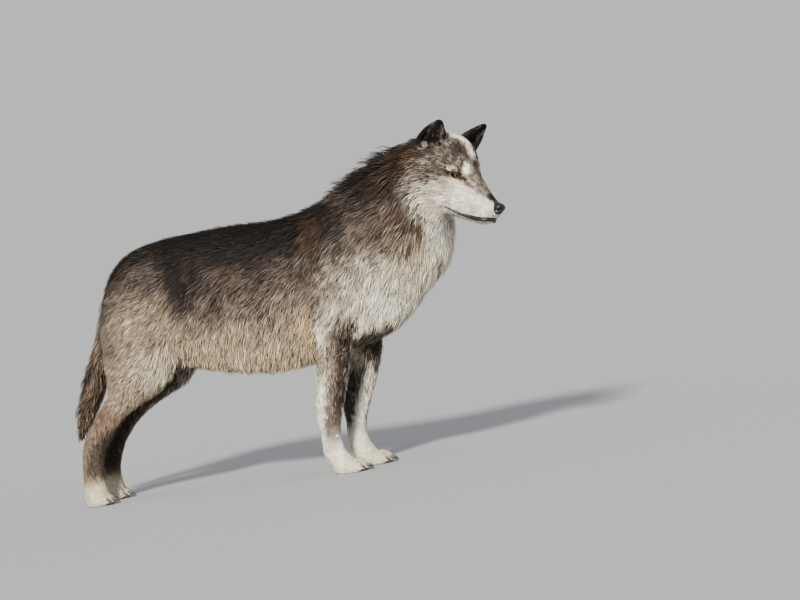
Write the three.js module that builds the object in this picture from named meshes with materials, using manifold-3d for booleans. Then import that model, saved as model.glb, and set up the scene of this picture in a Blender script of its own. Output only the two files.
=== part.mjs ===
// Timber wolf, standing: a still, life-size model of the animal in its winter coat, out to the tips of
// the hair. Millimetres, +Z up, the wolf faces +X and its right side is toward -Y. The floor is Z = 0.
import * as THREE from 'three';
import Module from 'manifold-3d';

// ---- Driving dimensions -------------------------------------------------------------------------
const GAP = 0.4; // clear space between two neighbouring sub-parts
const LEG_SPREAD = 74; // from the middle plane to the middle of a paw
const FORELEG_LEAD_LEFT = 26; // the left foreleg stands this much further forward
const FOREARM_LEAD_LEFT = 14; // and leans forward by this much more at the elbow
const HIND_LEAD_LEFT = -6; // the left hind paw stands a little further back
const KNEE_LEAD_LEFT = 24; // but its knee is further forward

// Where the body is parted: heights on the legs, places along the trunk, and tilted planes.
const ELBOW_CUT = 280;
const WRIST_CUT = 132;
const HOCK_CUT = 128;
const CHEST_CUT = 200;
const FLANK_CUT = 15;
const HEAD_CUT = { point: [697, 0, 712], direction: [0.93, -0.2, 0.28] };
const NECK_CUT = { point: [490, 0, 545], direction: [0.975, 0, 0.223] };
const SHANK_CUT = { point: [-250, 0, 262], direction: [0.8, 0, 0.6] };

const COAT_DARK = '#3b332d';
const COAT_GREY = '#8b8074';
const COAT_PALE = '#cfc4ae';
const COAT_FACE = '#b9b2a6';
const BARE_SKIN = '#1b1a1a';
const AMBER = '#b8722c';

// Rows of stations: low x, low z, high x, high z, half width, level of the widest place, centre y.
// Each row is one cross-section, standing on its low point and reaching to its high point.
const BODY = [
  [-250, 470, -246, 530, 36, 0.5, 0], // buttocks
  [-226, 425, -222, 594, 82, 0.5, 0],
  [-175, 385, -168, 645, 110, 0.52, 0], // hips
  [-100, 352, -96, 669, 118, 0.54, 0],
  [0, 322, 0, 678, 117, 0.5, 0], // loin
  [110, 300, 110, 683, 124, 0.48, 0],
  [220, 288, 225, 680, 136, 0.46, 0], // ribs
  [320, 296, 330, 690, 140, 0.46, 0],
  [410, 312, 402, 720, 138, 0.48, 0], // withers and breast
  [505, 338, 462, 750, 132, 0.5, 0],
  [590, 394, 520, 783, 128, 0.5, 0],
  [655, 460, 580, 808, 124, 0.5, 0], // neck with its mane
  [706, 510, 640, 832, 118, 0.52, 0],
  [730, 575, 690, 842, 98, 0.55, 0],
  [740, 640, 725, 820, 60, 0.55, 0], // behind the face
];
const TAIL = [
  [-196, 566, -232, 592, 24, 0.5, 0], // root
  [-205, 505, -262, 524, 33, 0.5, 0],
  [-222, 440, -288, 452, 37, 0.5, 0],
  [-246, 380, -318, 386, 40, 0.5, 0],
  [-276, 318, -350, 318, 40, 0.5, 0],
  [-308, 262, -376, 252, 34, 0.5, 0],
  [-340, 214, -386, 202, 22, 0.5, 0],
  [-364, 178, -378, 172, 6, 0.5, 0], // tip
];
const FORELEG = [
  [300, 560, 470, 560, 34, 0.5, 88], // shoulder
  [322, 470, 478, 480, 50, 0.5, 90],
  [338, 400, 462, 412, 46, 0.5, 88],
  [336, 335, 440, 345, 38, 0.5, 82], // elbow
  [326, 270, 418, 276, 32, 0.5, 78],
  [313, 215, 400, 222, 28, 0.5, 76],
  [301, 168, 382, 172, 27, 0.5, 75], // wrist
  [309, 125, 367, 126, 25, 0.5, LEG_SPREAD],
  [309, 85, 363, 86, 26, 0.5, LEG_SPREAD],
  [311, 50, 372, 52, 32, 0.5, LEG_SPREAD],
  [322, 24, 392, 28, 36, 0.5, LEG_SPREAD],
  [336, -6, 394, -6, 30, 0.5, LEG_SPREAD], // main pad, trimmed at the floor
];
const HIND_LEG = [
  [-30, 560, -205, 585, 40, 0.5, 70], // hip
  [-22, 450, -246, 500, 54, 0.5, 70],
  [-44, 352, -252, 430, 52, 0.5, 70], // thigh
  [-92, 292, -252, 345, 44, 0.5, 72],
  [-152, 260, -256, 290, 35, 0.5, 74],
  [-205, 234, -282, 256, 30, 0.5, 75], // shank
  [-248, 200, -312, 220, 27, 0.5, 76],
  [-280, 160, -346, 168, 26, 0.5, 76], // hock
  [-298, 112, -357, 114, 25, 0.5, 76],
  [-304, 70, -363, 70, 26, 0.5, LEG_SPREAD],
  [-300, 38, -368, 38, 31, 0.5, LEG_SPREAD],
  [-298, 18, -366, 16, 33, 0.5, LEG_SPREAD],
  [-304, -6, -354, -6, 28, 0.5, LEG_SPREAD], // main pad
];

// The head is shaped in its own frame: +X along the muzzle, origin midway between the eyes.
const HEAD_PLACE = new THREE.Vector3(790, -30, 717);
const HEAD_YAW = -26; // degrees: turned to its right,
const HEAD_PITCH = 21; // nose down,
const HEAD_ROLL = -13; // and leaning to its left
const HEAD = [
  [-150, -92, -150, 66, 66, 0.45, 0],
  [-120, -116, -120, 88, 96, 0.42, 0], // cheek ruffs
  [-85, -122, -85, 98, 106, 0.4, 0],
  [-50, -117, -50, 97, 102, 0.38, 0], // crown
  [-20, -111, -20, 86, 84, 0.36, 0],
  [5, -108, 5, 62, 65, 0.36, 0], // brows
  [30, -106, 30, 30, 49, 0.38, 0], // stop
  [55, -105, 55, 8, 40, 0.42, 0],
  [82, -105, 85, -14, 34, 0.45, 0], // bridge of the muzzle
  [102, -102, 110, -29, 30, 0.48, 0],
  [114, -96, 127, -36, 26, 0.5, 0],
  [121, -88, 137, -43, 19, 0.5, 0],
  [128, -78, 140, -54, 8, 0.5, 0], // lips under the nose
];
// Swellings and hollows of the face: centre x, y, z, reach, and push x, y, z; each on both sides.
const FACE_FORMS = [
  [8, 36, 26, 18, 0, 3, 7], // brow
  [8, 52, 1, 23, 3, -25, 0], // eye hollow
  [-24, 62, 26, 30, 0, -10, 0], // temple
  [32, 20, 4, 16, 0, -4, -3], // inner corner of the eye
  [-30, 80, -40, 34, 0, 6, 0], // cheek
  [108, 26, -66, 20, 0, 4, 0], // whisker pad
  [-10, 0, 88, 20, 0, 0, -5], // furrow of the forehead
];
const LIP_LEVEL = -82;
const MOUTH_CORNER = 8;
const EYE_CENTRE = [-2, 37, 0];
const EYE_RADIUS = 12;
const NOSE_CENTRE = [134, 0, -50];
const NOSE_RADII = [14, 17, 15];
const EAR_STATIONS = [
  // share of the length, half width, half depth
  [0, 38, 24],
  [0.3, 40, 21],
  [0.6, 33, 15],
  [0.85, 18, 9],
  [1, 6, 4],
];
const EAR_SHELL = { width: 1, depth: 1, forward: 0, from: 0, to: 1 };
const EAR_HOLLOW = { width: 0.74, depth: 0.95, forward: 0.6, from: 0.2, to: 0.86 };
const EAR_RIGHT = { base: [-97, -58, 30], tip: [-62, -82, 127], opens: [0.6, -0.75, 0.1] };
const EAR_LEFT = { base: [-86, 57, 42], tip: [-48, 90, 139], opens: [1, 0.05, 0.1] };

const FORE_TOES = { x: 386, reach: 9, spread: 18.5, radii: [31, 12.5, 20] };
const HIND_TOES = { x: -320, reach: 8, spread: 17, radii: [28, 11.5, 19] };
const TOE_HEIGHT = 16;
const TOE_DROOP = 14; // degrees that a toe slopes down toward its claw
const CLAW = { length: 22, radius: 3.6, droop: 26, height: 9 };

// ---- Small tools --------------------------------------------------------------------------------
const wasm = await Module();
wasm.setup();
const { Manifold, Mesh } = wasm;
const radians = THREE.MathUtils.degToRad;

/** Closed solid from points [x, y, z] and triangles [a, b, c]. */
function solid(points, triangles) {
  const vertProperties = new Float32Array(points.flat());
  const triVerts = new Uint32Array(triangles.flat());
  return new Manifold(new Mesh({ numProp: 3, vertProperties, triVerts }));
}

/** Smooth row of numbers at share t of a table, by a cubic through its rows. */
function rowAt(table, t) {
  const place = t * (table.length - 1);
  const i = Math.min(Math.floor(place), table.length - 2);
  const f = place - i;
  const pick = (k) => table[Math.min(Math.max(k, 0), table.length - 1)];
  return table[i].map((start, c) => {
    const end = pick(i + 1)[c];
    const leave = (end - pick(i - 1)[c]) / 2;
    const arrive = (pick(i + 2)[c] - start) / 2;
    const bend = 2 * (start - end) + leave + arrive;
    const lift = 3 * (end - start) - 2 * leave - arrive;
    return start + f * (leave + f * (lift + f * bend));
  });
}

/** Moves each ring's points away from its middle, and the end rings outward, by `grow`. */
function grownRings(rings, grow) {
  const middles = rings.map((ring) => ring
    .reduce((sum, point) => sum.add(new THREE.Vector3(...point)), new THREE.Vector3())
    .divideScalar(ring.length));
  const last = rings.length - 1;
  return rings.map((ring, r) => {
    const ends = new THREE.Vector3();
    if (r === 0 || r === last) {
      ends.subVectors(middles[r], middles[r === 0 ? 1 : last - 1]).setLength(grow);
    }
    return ring.map((point) => {
      const away = new THREE.Vector3(...point).sub(middles[r]).setLength(grow);
      return new THREE.Vector3(...point).add(away).add(ends).toArray();
    });
  });
}

/** Rings of points joined by quads split in two, with a fan over each end. */
function ringsToSolid(given, grow = 0) {
  const rings = grow > 0 ? grownRings(given, grow) : given;
  const sides = rings[0].length;
  const points = rings.flat();
  const triangles = [];
  for (let r = 0; r + 1 < rings.length; r += 1) {
    for (let s = 0; s < sides; s += 1) {
      const a = r * sides + s;
      const b = r * sides + ((s + 1) % sides);
      triangles.push([a, b, b + sides], [a, b + sides, a + sides]);
    }
  }
  const last = (rings.length - 1) * sides;
  const middle = (ring) => [0, 1, 2].map((k) => ring.reduce((sum, p) => sum + p[k], 0) / sides);
  points.push(middle(rings[0]), middle(rings.at(-1)));
  for (let s = 0; s < sides; s += 1) {
    const next = (s + 1) % sides;
    triangles.push([next, s, points.length - 2]);
    triangles.push([last + s, last + next, points.length - 1]);
  }
  const made = solid(points, triangles);
  return made.volume() > 0 ? made : solid(points, triangles.map(([a, b, c]) => [a, c, b]));
}

/** Solid through the cross-sections of a table, each a rounded oval; side mirrors its centre y. */
function loft(table, ringCount, sides, side = 1, grow = 0) {
  const rings = [];
  for (let r = 0; r <= ringCount; r += 1) {
    const [lowX, lowZ, highX, highZ, half, widest, y] = rowAt(table, r / ringCount);
    const ring = [];
    for (let s = 0; s < sides; s += 1) {
      const angle = (2 * Math.PI * (s + 0.5)) / sides;
      const across = Math.sign(Math.cos(angle)) * Math.abs(Math.cos(angle)) ** 0.9;
      const rise = Math.sin(angle);
      const level = rise > 0 ? widest + (1 - widest) * rise : widest * (1 + rise);
      ring.push([lowX + (highX - lowX) * level, side * y + half * across, lowZ + (highZ - lowZ) * level]);
    }
    rings.push(ring);
  }
  return ringsToSolid(rings, grow);
}

/** Ellipsoid or cone from one of the library's shapes, at a place given by a matrix. */
function shape(geometry, matrix) {
  const plain = geometry.toNonIndexed().applyMatrix4(matrix);
  const position = plain.getAttribute('position');
  const seen = new Map();
  const points = [];
  const corners = [];
  for (let k = 0; k < position.count; k += 1) {
    const point = [position.getX(k), position.getY(k), position.getZ(k)];
    const key = point.map((value) => Math.round(value * 1000)).join();
    if (!seen.has(key)) {
      seen.set(key, points.length);
      points.push(point);
    }
    corners.push(seen.get(key));
  }
  const triangles = [];
  for (let k = 0; k < corners.length; k += 3) {
    const [a, b, c] = corners.slice(k, k + 3);
    if (a !== b && b !== c && c !== a) {
      triangles.push([a, b, c]);
    }
  }
  return solid(points, triangles);
}

function ball(centre, radii, around = 14, down = 10) {
  const matrix = new THREE.Matrix4().makeTranslation(...centre);
  matrix.scale(new THREE.Vector3(...radii));
  return shape(new THREE.SphereGeometry(1, around, down), matrix);
}

/** Everything on the side of a plane that its direction points to, held back from the plane. */
function halfSpace(point, direction, hold = GAP / 2) {
  const reach = 4000;
  const normal = new THREE.Vector3(...direction).normalize();
  const turn = new THREE.Quaternion().setFromUnitVectors(new THREE.Vector3(0, 0, 1), normal);
  const centre = new THREE.Vector3(...point).addScaledVector(normal, reach / 2 + hold);
  const matrix = new THREE.Matrix4().compose(centre, turn, new THREE.Vector3(1, 1, 1));
  return shape(new THREE.BoxGeometry(reach, reach, reach), matrix);
}

const union = (solids) => solids.reduce((sum, next) => sum.add(next));

// ---- Legs and paws ------------------------------------------------------------------------------

/** Table of a leg whose paw stands `lead` further forward and whose upper part leans by `lean`. */
function standing(table, lead, lean) {
  return table.map((row) => {
    const shift = (z) => lead + lean * THREE.MathUtils.smoothstep(z, 60, 280);
    const [lowX, lowZ, highX, highZ, ...rest] = row;
    return [lowX + shift(lowZ), lowZ, highX + shift(highZ), highZ, ...rest];
  });
}

/** One toe with its claw, a cone set in its front; both slope down toward the floor. */
function toe(x, y, radii) {
  const turned = (degrees) => new THREE.Matrix4().makeRotationY(radians(degrees));
  const pad = new THREE.Matrix4().makeTranslation(x, y, TOE_HEIGHT).multiply(turned(TOE_DROOP));
  pad.scale(new THREE.Vector3(...radii));
  const tip = new THREE.Matrix4().makeTranslation(x + radii[0], y, CLAW.height).multiply(turned(CLAW.droop));
  tip.multiply(new THREE.Matrix4().makeRotationZ(-Math.PI / 2));
  return shape(new THREE.SphereGeometry(1, 8, 5), pad)
    .add(shape(new THREE.ConeGeometry(CLAW.radius, CLAW.length, 5), tip));
}

/** Four toes with their claws; the two middle toes reach further forward. */
function toes({ x, reach, spread, radii }, lead, side) {
  return [-1.5, -0.5, 0.5, 1.5].map((place) => {
    const forward = x + lead + reach * (1.5 - Math.abs(place));
    return toe(forward, side * LEG_SPREAD + spread * place, radii);
  });
}

const forelegs = [
  loft(FORELEG, 14, 12, -1),
  loft(standing(FORELEG, FORELEG_LEAD_LEFT, FOREARM_LEAD_LEFT), 14, 12, 1),
  ...toes(FORE_TOES, 0, -1),
  ...toes(FORE_TOES, FORELEG_LEAD_LEFT, 1),
];
const hindLegs = [
  loft(HIND_LEG, 15, 12, -1),
  loft(standing(HIND_LEG, HIND_LEAD_LEFT, KNEE_LEAD_LEFT), 15, 12, 1),
  ...toes(HIND_TOES, 0, -1),
  ...toes(HIND_TOES, HIND_LEAD_LEFT, 1),
];

// ---- Head ---------------------------------------------------------------------------------------
const headMatrix = new THREE.Matrix4().compose(
  HEAD_PLACE,
  new THREE.Quaternion().setFromEuler(
    new THREE.Euler(radians(HEAD_ROLL), radians(HEAD_PITCH), radians(HEAD_YAW), 'ZYX'),
  ),
  new THREE.Vector3(1, 1, 1),
);
const inPlace = (body) => body.transform(headMatrix.elements);

/** Moves the points of the head's skin by the swellings and hollows of the face. */
function formFace(point) {
  const moved = [...point];
  for (const [x, y, z, reach, ...push] of FACE_FORMS) {
    for (const side of y === 0 ? [1] : [1, -1]) {
      const away = Math.hypot(point[0] - x, point[1] - side * y, point[2] - z);
      const share = Math.exp(-((away / reach) ** 2));
      moved[0] += share * push[0];
      moved[1] += share * push[1] * side;
      moved[2] += share * push[2];
    }
  }
  return moved;
}

function makeFace() {
  return loft(HEAD, 22, 20).warp((point) => {
    const moved = formFace(point);
    point[0] = moved[0];
    point[1] = moved[1];
    point[2] = moved[2];
  });
}

/** Leaf-shaped cone of an ear; shares scale its width and depth, and forward shifts it. */
function earCone({ base, tip, opens }, { width, depth, forward, from, to }, grow) {
  const root = new THREE.Vector3(...base);
  const axis = new THREE.Vector3(...tip).sub(root);
  const along = axis.clone().normalize();
  const front = new THREE.Vector3(...opens);
  front.addScaledVector(along, -front.dot(along)).normalize();
  const across = new THREE.Vector3().crossVectors(along, front);
  const rings = [];
  for (let r = 0; r <= 6; r += 1) {
    const [share, halfWidth, halfDepth] = rowAt(EAR_STATIONS, from + (to - from) * (r / 6));
    const centre = root.clone().addScaledVector(axis, share).addScaledVector(front, forward * halfDepth);
    const ring = [];
    for (let s = 0; s < 12; s += 1) {
      const angle = (2 * Math.PI * s) / 12;
      const point = centre.clone().addScaledVector(across, halfWidth * width * Math.cos(angle));
      ring.push(point.addScaledVector(front, halfDepth * depth * Math.sin(angle)).toArray());
    }
    rings.push(ring);
  }
  return ringsToSolid(rings, grow);
}

/** Ear with the hollow on the side that it opens to cut away. */
function ear(place) {
  return earCone(place, EAR_SHELL, 0).subtract(earCone(place, EAR_HOLLOW, 0));
}

const earRoom = (place) => earCone(place, EAR_SHELL, GAP);

// ---- Sub-parts ----------------------------------------------------------------------------------
const eyeBall = (side, grow) => {
  const radius = EYE_RADIUS + grow;
  return ball([EYE_CENTRE[0], side * EYE_CENTRE[1], EYE_CENTRE[2]], [radius, radius, radius], 12, 8);
};
const noseBall = (grow) => ball(NOSE_CENTRE, NOSE_RADII.map((radius) => radius + grow), 12, 8);
const makeTail = (grow) => loft(TAIL, 12, 12, 1, grow);

/** All the flesh as one solid above the floor, with room left for the eyes, nose, ears and tail. */
function makeFlesh() {
  const ears = earRoom(EAR_LEFT).add(earRoom(EAR_RIGHT));
  const fitted = union([noseBall(GAP), eyeBall(1, GAP), eyeBall(-1, GAP), ears]);
  return union([loft(BODY, 24, 24), ...forelegs, ...hindLegs, inPlace(makeFace())])
    .subtract(inPlace(fitted))
    .subtract(makeTail(GAP))
    .intersect(halfSpace([0, 0, 0], [0, 0, 1], 0));
}

/** The two pieces of a body on either side of a plane, with the gap between them. */
function parted(body, { point, direction }) {
  const back = direction.map((value) => -value);
  return [body.intersect(halfSpace(point, direction)), body.intersect(halfSpace(point, back))];
}

/** Left and right legs of a pair, each parted again at a height. */
function partedLegs(pair, cutHeight) {
  const [left, right] = parted(pair, { point: [0, 0, 0], direction: [0, 1, 0] });
  const level = { point: [0, 0, cutHeight], direction: [0, 0, 1] };
  return { left: parted(left, level), right: parted(right, level) };
}

const [headWhole, behindHead] = parted(makeFlesh(), HEAD_CUT);
const [neck, body] = parted(behindHead, NECK_CUT);
const [front, back] = parted(body, { point: [CHEST_CUT, 0, 0], direction: [1, 0, 0] });
const [chest, forePair] = parted(front, { point: [0, 0, ELBOW_CUT], direction: [0, 0, 1] });
const [belly, rear] = parted(back, { point: [FLANK_CUT, 0, 0], direction: [1, 0, 0] });
const [rump, hindPair] = parted(rear, SHANK_CUT);
const fore = partedLegs(forePair, WRIST_CUT);
const hind = partedLegs(hindPair, HOCK_CUT);

/** The space of the lower jaw: under the lips and in front of the corner of the mouth. */
function jawSpace(hold) {
  const under = halfSpace([0, 0, LIP_LEVEL], [0, 0, -1], hold);
  return inPlace(under.intersect(halfSpace([MOUTH_CORNER, 0, 0], [1, 0, 0], hold)));
}

// ---- Scene graph --------------------------------------------------------------------------------
const wolf = new THREE.Group();
wolf.name = 'timber_wolf';

/** Adds one sub-part to the wolf as a mesh of its own colour. */
function addPart(name, body, colour, roughness = 0.9) {
  const { vertProperties, triVerts } = body.getMesh();
  const geometry = new THREE.BufferGeometry();
  geometry.setAttribute('position', new THREE.BufferAttribute(vertProperties, 3));
  geometry.setIndex(new THREE.BufferAttribute(triVerts, 1));
  const mesh = new THREE.Mesh(geometry, new THREE.MeshStandardMaterial({ color: colour, roughness }));
  mesh.name = name;
  wolf.add(mesh);
}

addPart('head', headWhole.subtract(jawSpace(-GAP / 2)), COAT_FACE);
addPart('jaw', headWhole.intersect(jawSpace(GAP / 2)), COAT_PALE);
addPart('nose', inPlace(noseBall(0)), BARE_SKIN, 0.35);
addPart('eye_left', inPlace(eyeBall(1, 0)), AMBER, 0.1);
addPart('eye_right', inPlace(eyeBall(-1, 0)), AMBER, 0.1);
addPart('ear_left', inPlace(ear(EAR_LEFT)), COAT_DARK);
addPart('ear_right', inPlace(ear(EAR_RIGHT)), COAT_DARK);
addPart('neck', neck, COAT_GREY);
addPart('chest', chest, COAT_GREY);
addPart('belly', belly, COAT_DARK);
addPart('rump', rump, COAT_DARK);
addPart('tail', makeTail(0), COAT_DARK);
for (const side of ['left', 'right']) {
  addPart(`forearm_${side}`, fore[side][0], COAT_PALE);
  addPart(`forepaw_${side}`, fore[side][1], COAT_PALE);
  addPart(`shank_${side}`, hind[side][0], COAT_GREY);
  addPart(`hind_paw_${side}`, hind[side][1], COAT_PALE);
}

// The wolf's own origin is the middle of its footprint, on the floor.
const box = new THREE.Box3().setFromObject(wolf);
wolf.position.set(-(box.min.x + box.max.x) / 2, -(box.min.y + box.max.y) / 2, 0);

export default wolf;
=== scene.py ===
"""Timber wolf in its winter coat: skin, fur, eyes, nose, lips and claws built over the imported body."""

import itertools
import math

import bpy
import numpy as np
from mathutils import Matrix, Vector
from mathutils.bvhtree import BVHTree


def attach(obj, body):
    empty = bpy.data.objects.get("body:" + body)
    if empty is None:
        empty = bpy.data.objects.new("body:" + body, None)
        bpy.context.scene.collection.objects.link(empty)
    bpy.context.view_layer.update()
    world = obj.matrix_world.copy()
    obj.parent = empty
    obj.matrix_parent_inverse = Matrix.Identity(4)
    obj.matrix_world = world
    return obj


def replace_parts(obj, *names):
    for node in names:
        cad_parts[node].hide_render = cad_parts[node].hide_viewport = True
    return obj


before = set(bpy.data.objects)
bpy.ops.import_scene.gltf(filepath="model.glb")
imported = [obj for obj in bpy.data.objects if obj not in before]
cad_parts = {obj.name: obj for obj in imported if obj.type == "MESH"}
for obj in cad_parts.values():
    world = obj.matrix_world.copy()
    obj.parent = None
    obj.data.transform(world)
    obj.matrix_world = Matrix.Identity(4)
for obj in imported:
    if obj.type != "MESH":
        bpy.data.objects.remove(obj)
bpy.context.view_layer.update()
rng = np.random.default_rng(20)

FORELEGS = ("forearm_left", "forearm_right", "forepaw_left", "forepaw_right")
HIND_LEGS = ("shank_left", "shank_right", "hind_paw_left", "hind_paw_right")
FACE = ("head", "jaw", "ear_left", "ear_right")
TRUNK = ("neck", "chest", "belly", "rump")
FLESH = (*FACE, *TRUNK, "tail", *FORELEGS, *HIND_LEGS)
COLOUR = "colour"  # the attribute that holds each piece's colours

# ---- Meshes and materials ----


def linear(hex_colour):
    """sRGB hex to linear red, green, blue."""
    value = int(hex_colour.lstrip("#"), 16)
    srgb = np.array([value >> 16 & 255, value >> 8 & 255, value & 255]) / 255
    return np.where(srgb <= 0.04045, srgb / 12.92, ((srgb + 0.055) / 1.055) ** 2.4)


def add_node(tree, kind, inputs=(), **settings):
    """Adds one shader node. inputs maps a socket to a value or to another node's output."""
    made = tree.nodes.new(kind)
    for name, value in settings.items():
        setattr(made, name, value)
    for name, value in dict(inputs).items():
        if isinstance(value, bpy.types.NodeSocket):
            tree.links.new(value, made.inputs[name])
        else:
            made.inputs[name].default_value = value
    return made


def new_material(name):
    """An empty material, and the tree that its nodes go into."""
    material = bpy.data.materials.new(name)
    material.use_nodes = True
    material.node_tree.nodes.clear()
    return material, material.node_tree


def new_object(name, data):
    """An object linked to the scene."""
    made = bpy.data.objects.new(name, data)
    bpy.context.scene.collection.objects.link(made)
    return made


def new_mesh(name, points, faces):
    """Mesh from an array of points and an array of triangles or quads."""
    mesh = bpy.data.meshes.new(name)
    mesh.vertices.add(len(points))
    mesh.vertices.foreach_set("co", np.ascontiguousarray(points, np.float32).ravel())
    mesh.loops.add(faces.size)
    mesh.loops.foreach_set("vertex_index", np.ascontiguousarray(faces, np.int32).ravel())
    mesh.polygons.add(len(faces))
    mesh.polygons.foreach_set("loop_start", np.arange(0, faces.size, faces.shape[1], dtype=np.int32))
    mesh.update(calc_edges=True)
    return mesh


def turned(turns):
    """Turns in degrees about named axes, each in the frame left by the one before, as one matrix."""
    total = Matrix.Identity(3)
    for degrees, axis in turns:
        total = total @ Matrix.Rotation(math.radians(degrees), 3, axis)
    return total


# ---- Camera, floor and light ----
CAMERA_PLACE = (3.49719, -11.14569, 0.92972)
CAMERA_TURNS = ((16, "Z"), (87.5, "X"), (-9, "Z"))  # round the animal, up from looking down, and roll
LENS = 200.0
SENSOR_WIDTH = 36
CLIP_END = 2000
FLOOR_HALF = 300.0
WORLD_LIGHT = 0.68
SUN_STRENGTH = 6.8
SUN_SPREAD = math.radians(7)
SUN_HEIGHT = 27
SUN_TURNS = ((3, "Z"), (90 - SUN_HEIGHT, "X"))
SUN_COLOUR = (1.0, 0.945, 0.845)


def make_camera():
    """A long lens from the animal's right side, turned and rolled by CAMERA_TURNS."""
    camera = new_object("camera", bpy.data.cameras.new("camera"))
    camera.data.lens = LENS
    camera.data.sensor_width = SENSOR_WIDTH
    camera.data.clip_end = CLIP_END
    camera.matrix_world = Matrix.Translation(CAMERA_PLACE) @ turned(CAMERA_TURNS).to_4x4()
    bpy.context.scene.camera = camera


def make_stage():
    """Pale floor out to the horizon, one broad key light and an even fill. Lit by sun and world, the floor's
    shade, fill over sun and fill together, gives back just the world's own brightness: no horizon shows."""
    material, tree = new_material("pale_studio_floor")
    fill = math.pi * WORLD_LIGHT
    down = SUN_STRENGTH * math.sin(math.radians(SUN_HEIGHT))
    shade = [fill / (down * part + fill) for part in SUN_COLOUR]
    shader = add_node(tree, "ShaderNodeBsdfDiffuse", {"Color": (*shade, 1)})
    add_node(tree, "ShaderNodeOutputMaterial", {"Surface": shader.outputs[0]})
    corners = FLOOR_HALF * np.array([[-1, -1, 0], [1, -1, 0], [1, 1, 0], [-1, 1, 0]])
    floor = new_object("floor", new_mesh("floor", corners, np.arange(4).reshape(1, 4)))
    floor.data.materials.append(material)
    world = bpy.data.worlds.new("studio")
    bpy.context.scene.world = world
    world.use_nodes = True
    background = world.node_tree.nodes["Background"].inputs
    background["Color"].default_value = (1, 1, 1, 1)
    background["Strength"].default_value = WORLD_LIGHT
    sun = new_object("key_light", bpy.data.lights.new("key_light", "SUN"))
    sun.data.energy = SUN_STRENGTH
    sun.data.angle = SUN_SPREAD
    sun.data.color = SUN_COLOUR
    sun.matrix_world = turned(SUN_TURNS).to_4x4()


make_camera()
make_stage()

# ---- Points and noise ----


def unit(vectors):
    """Each row divided by its length."""
    return vectors / np.maximum(np.linalg.norm(vectors, axis=-1, keepdims=True), 1e-9)


def ease(low, high, value):
    """0 below low, 1 above high, and a smooth cubic step between."""
    t = np.clip((value - low) / (high - low), 0, 1)
    return t * t * (3 - 2 * t)


def blend(one, other, share):
    """One where the share is 0, the other where it is 1."""
    return one + (other - one) * share


def arc(start, bend, tip, t):
    """Quadratic curve from start to tip, drawn toward bend."""
    return (1 - t) ** 2 * start + 2 * t * (1 - t) * bend + t * t * tip


def along(line, place):
    """Height at a place on a line of (place, height) pairs."""
    places, heights = zip(*line)
    return np.interp(place, places, heights)


def circle(count):
    """Angles evenly round a circle."""
    return np.linspace(0, 2 * np.pi, count, endpoint=False)


def summed(index, values, count):
    """Rows of values added up by index."""
    return np.stack([np.bincount(index, column, count) for column in values.T], axis=1)


def lattice(cells, seed):
    """A repeatable value from 0 to 1 for each whole-number cell, by mixing its bits."""
    c = cells.astype(np.int64)
    mixed = c[..., 0] * 73856093 ^ c[..., 1] * 19349663 ^ c[..., 2] * 83492791 ^ seed * 2654435761
    mixed = (mixed ^ (mixed >> 13)) * 1274126177 & 0x7FFFFFFF
    mixed = (mixed ^ (mixed >> 15)) * 668265263 & 0x7FFFFFFF
    return (mixed & 0xFFFF) / 65535.0


def noise(points, size, seed):
    """Value noise from 0 to 1: lattice values blended across cells of the given size in mm."""
    low = np.floor(points / size)
    part = ease(0, 1, points / size - low)
    total = np.zeros(points.shape[:-1])
    for corner in np.ndindex(2, 2, 2):
        weight = np.prod(np.where(np.array(corner) == 1, part, 1 - part), axis=-1)
        total += weight * lattice(low + corner, seed)
    return total


def mesh_arrays(mesh):
    """Points and triangles of a mesh as arrays."""
    mesh.calc_loop_triangles()
    co = np.empty(len(mesh.vertices) * 3)
    tri = np.empty(len(mesh.loop_triangles) * 3, np.int32)
    mesh.vertices.foreach_get("co", co)
    mesh.loop_triangles.foreach_get("vertices", tri)
    return co.reshape(-1, 3), tri.reshape(-1, 3)


def point_normals(points, tri):
    """Each point's normal: the sum of its triangles' normals, weighted by area."""
    a, b, c = points[tri].transpose(1, 0, 2)
    face = np.cross(b - a, c - a)
    return unit(sum(summed(tri[:, k], face, len(points)) for k in range(3)))


def spread_over(edges, values, rounds, keep=0.0):
    """Smooths values on points: each is averaged with its neighbours' `rounds` times."""
    count = len(values)
    flat = values.reshape(count, -1).astype(float)
    degree = np.bincount(edges.ravel(), minlength=count) + 1.0
    one, two = edges.T
    for _ in range(rounds):
        total = flat + summed(one, flat[two], count) + summed(two, flat[one], count)
        flat = blend(total / degree[:, None], flat, keep)
    return flat.reshape(values.shape)


def grid_faces(rows, columns, closed):
    """Quads of a grid of points, row after row; closed joins the last column to the first."""
    r, c = np.meshgrid(np.arange(rows - 1), np.arange(columns - (not closed)), indexing="ij")
    n = (c + 1) % columns
    low, high = r * columns, (r + 1) * columns
    return np.stack([low + c, low + n, high + n, high + c], axis=-1).reshape(-1, 4)


def triangles(quads):
    """Each quad as two triangles that share its first and third corners."""
    return np.vstack([quads[:, [0, 1, 2]], quads[:, [0, 2, 3]]])


def capped_tube(rings):
    """Points and triangles of a closed tube: rings joined by quads, and a fan over each end."""
    rows, columns = rings.shape[:2]
    count = rows * columns
    points = np.vstack([rings.reshape(-1, 3), rings[0].mean(0), rings[-1].mean(0)])
    k = np.arange(columns)
    n = (k + 1) % columns
    last = count - columns
    start = np.stack([n, k, 0 * k + count], axis=1)
    end = np.stack([last + k, last + n, 0 * k + count + 1], axis=1)
    return points, np.vstack([triangles(grid_faces(rows, columns, True)), start, end])


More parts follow.
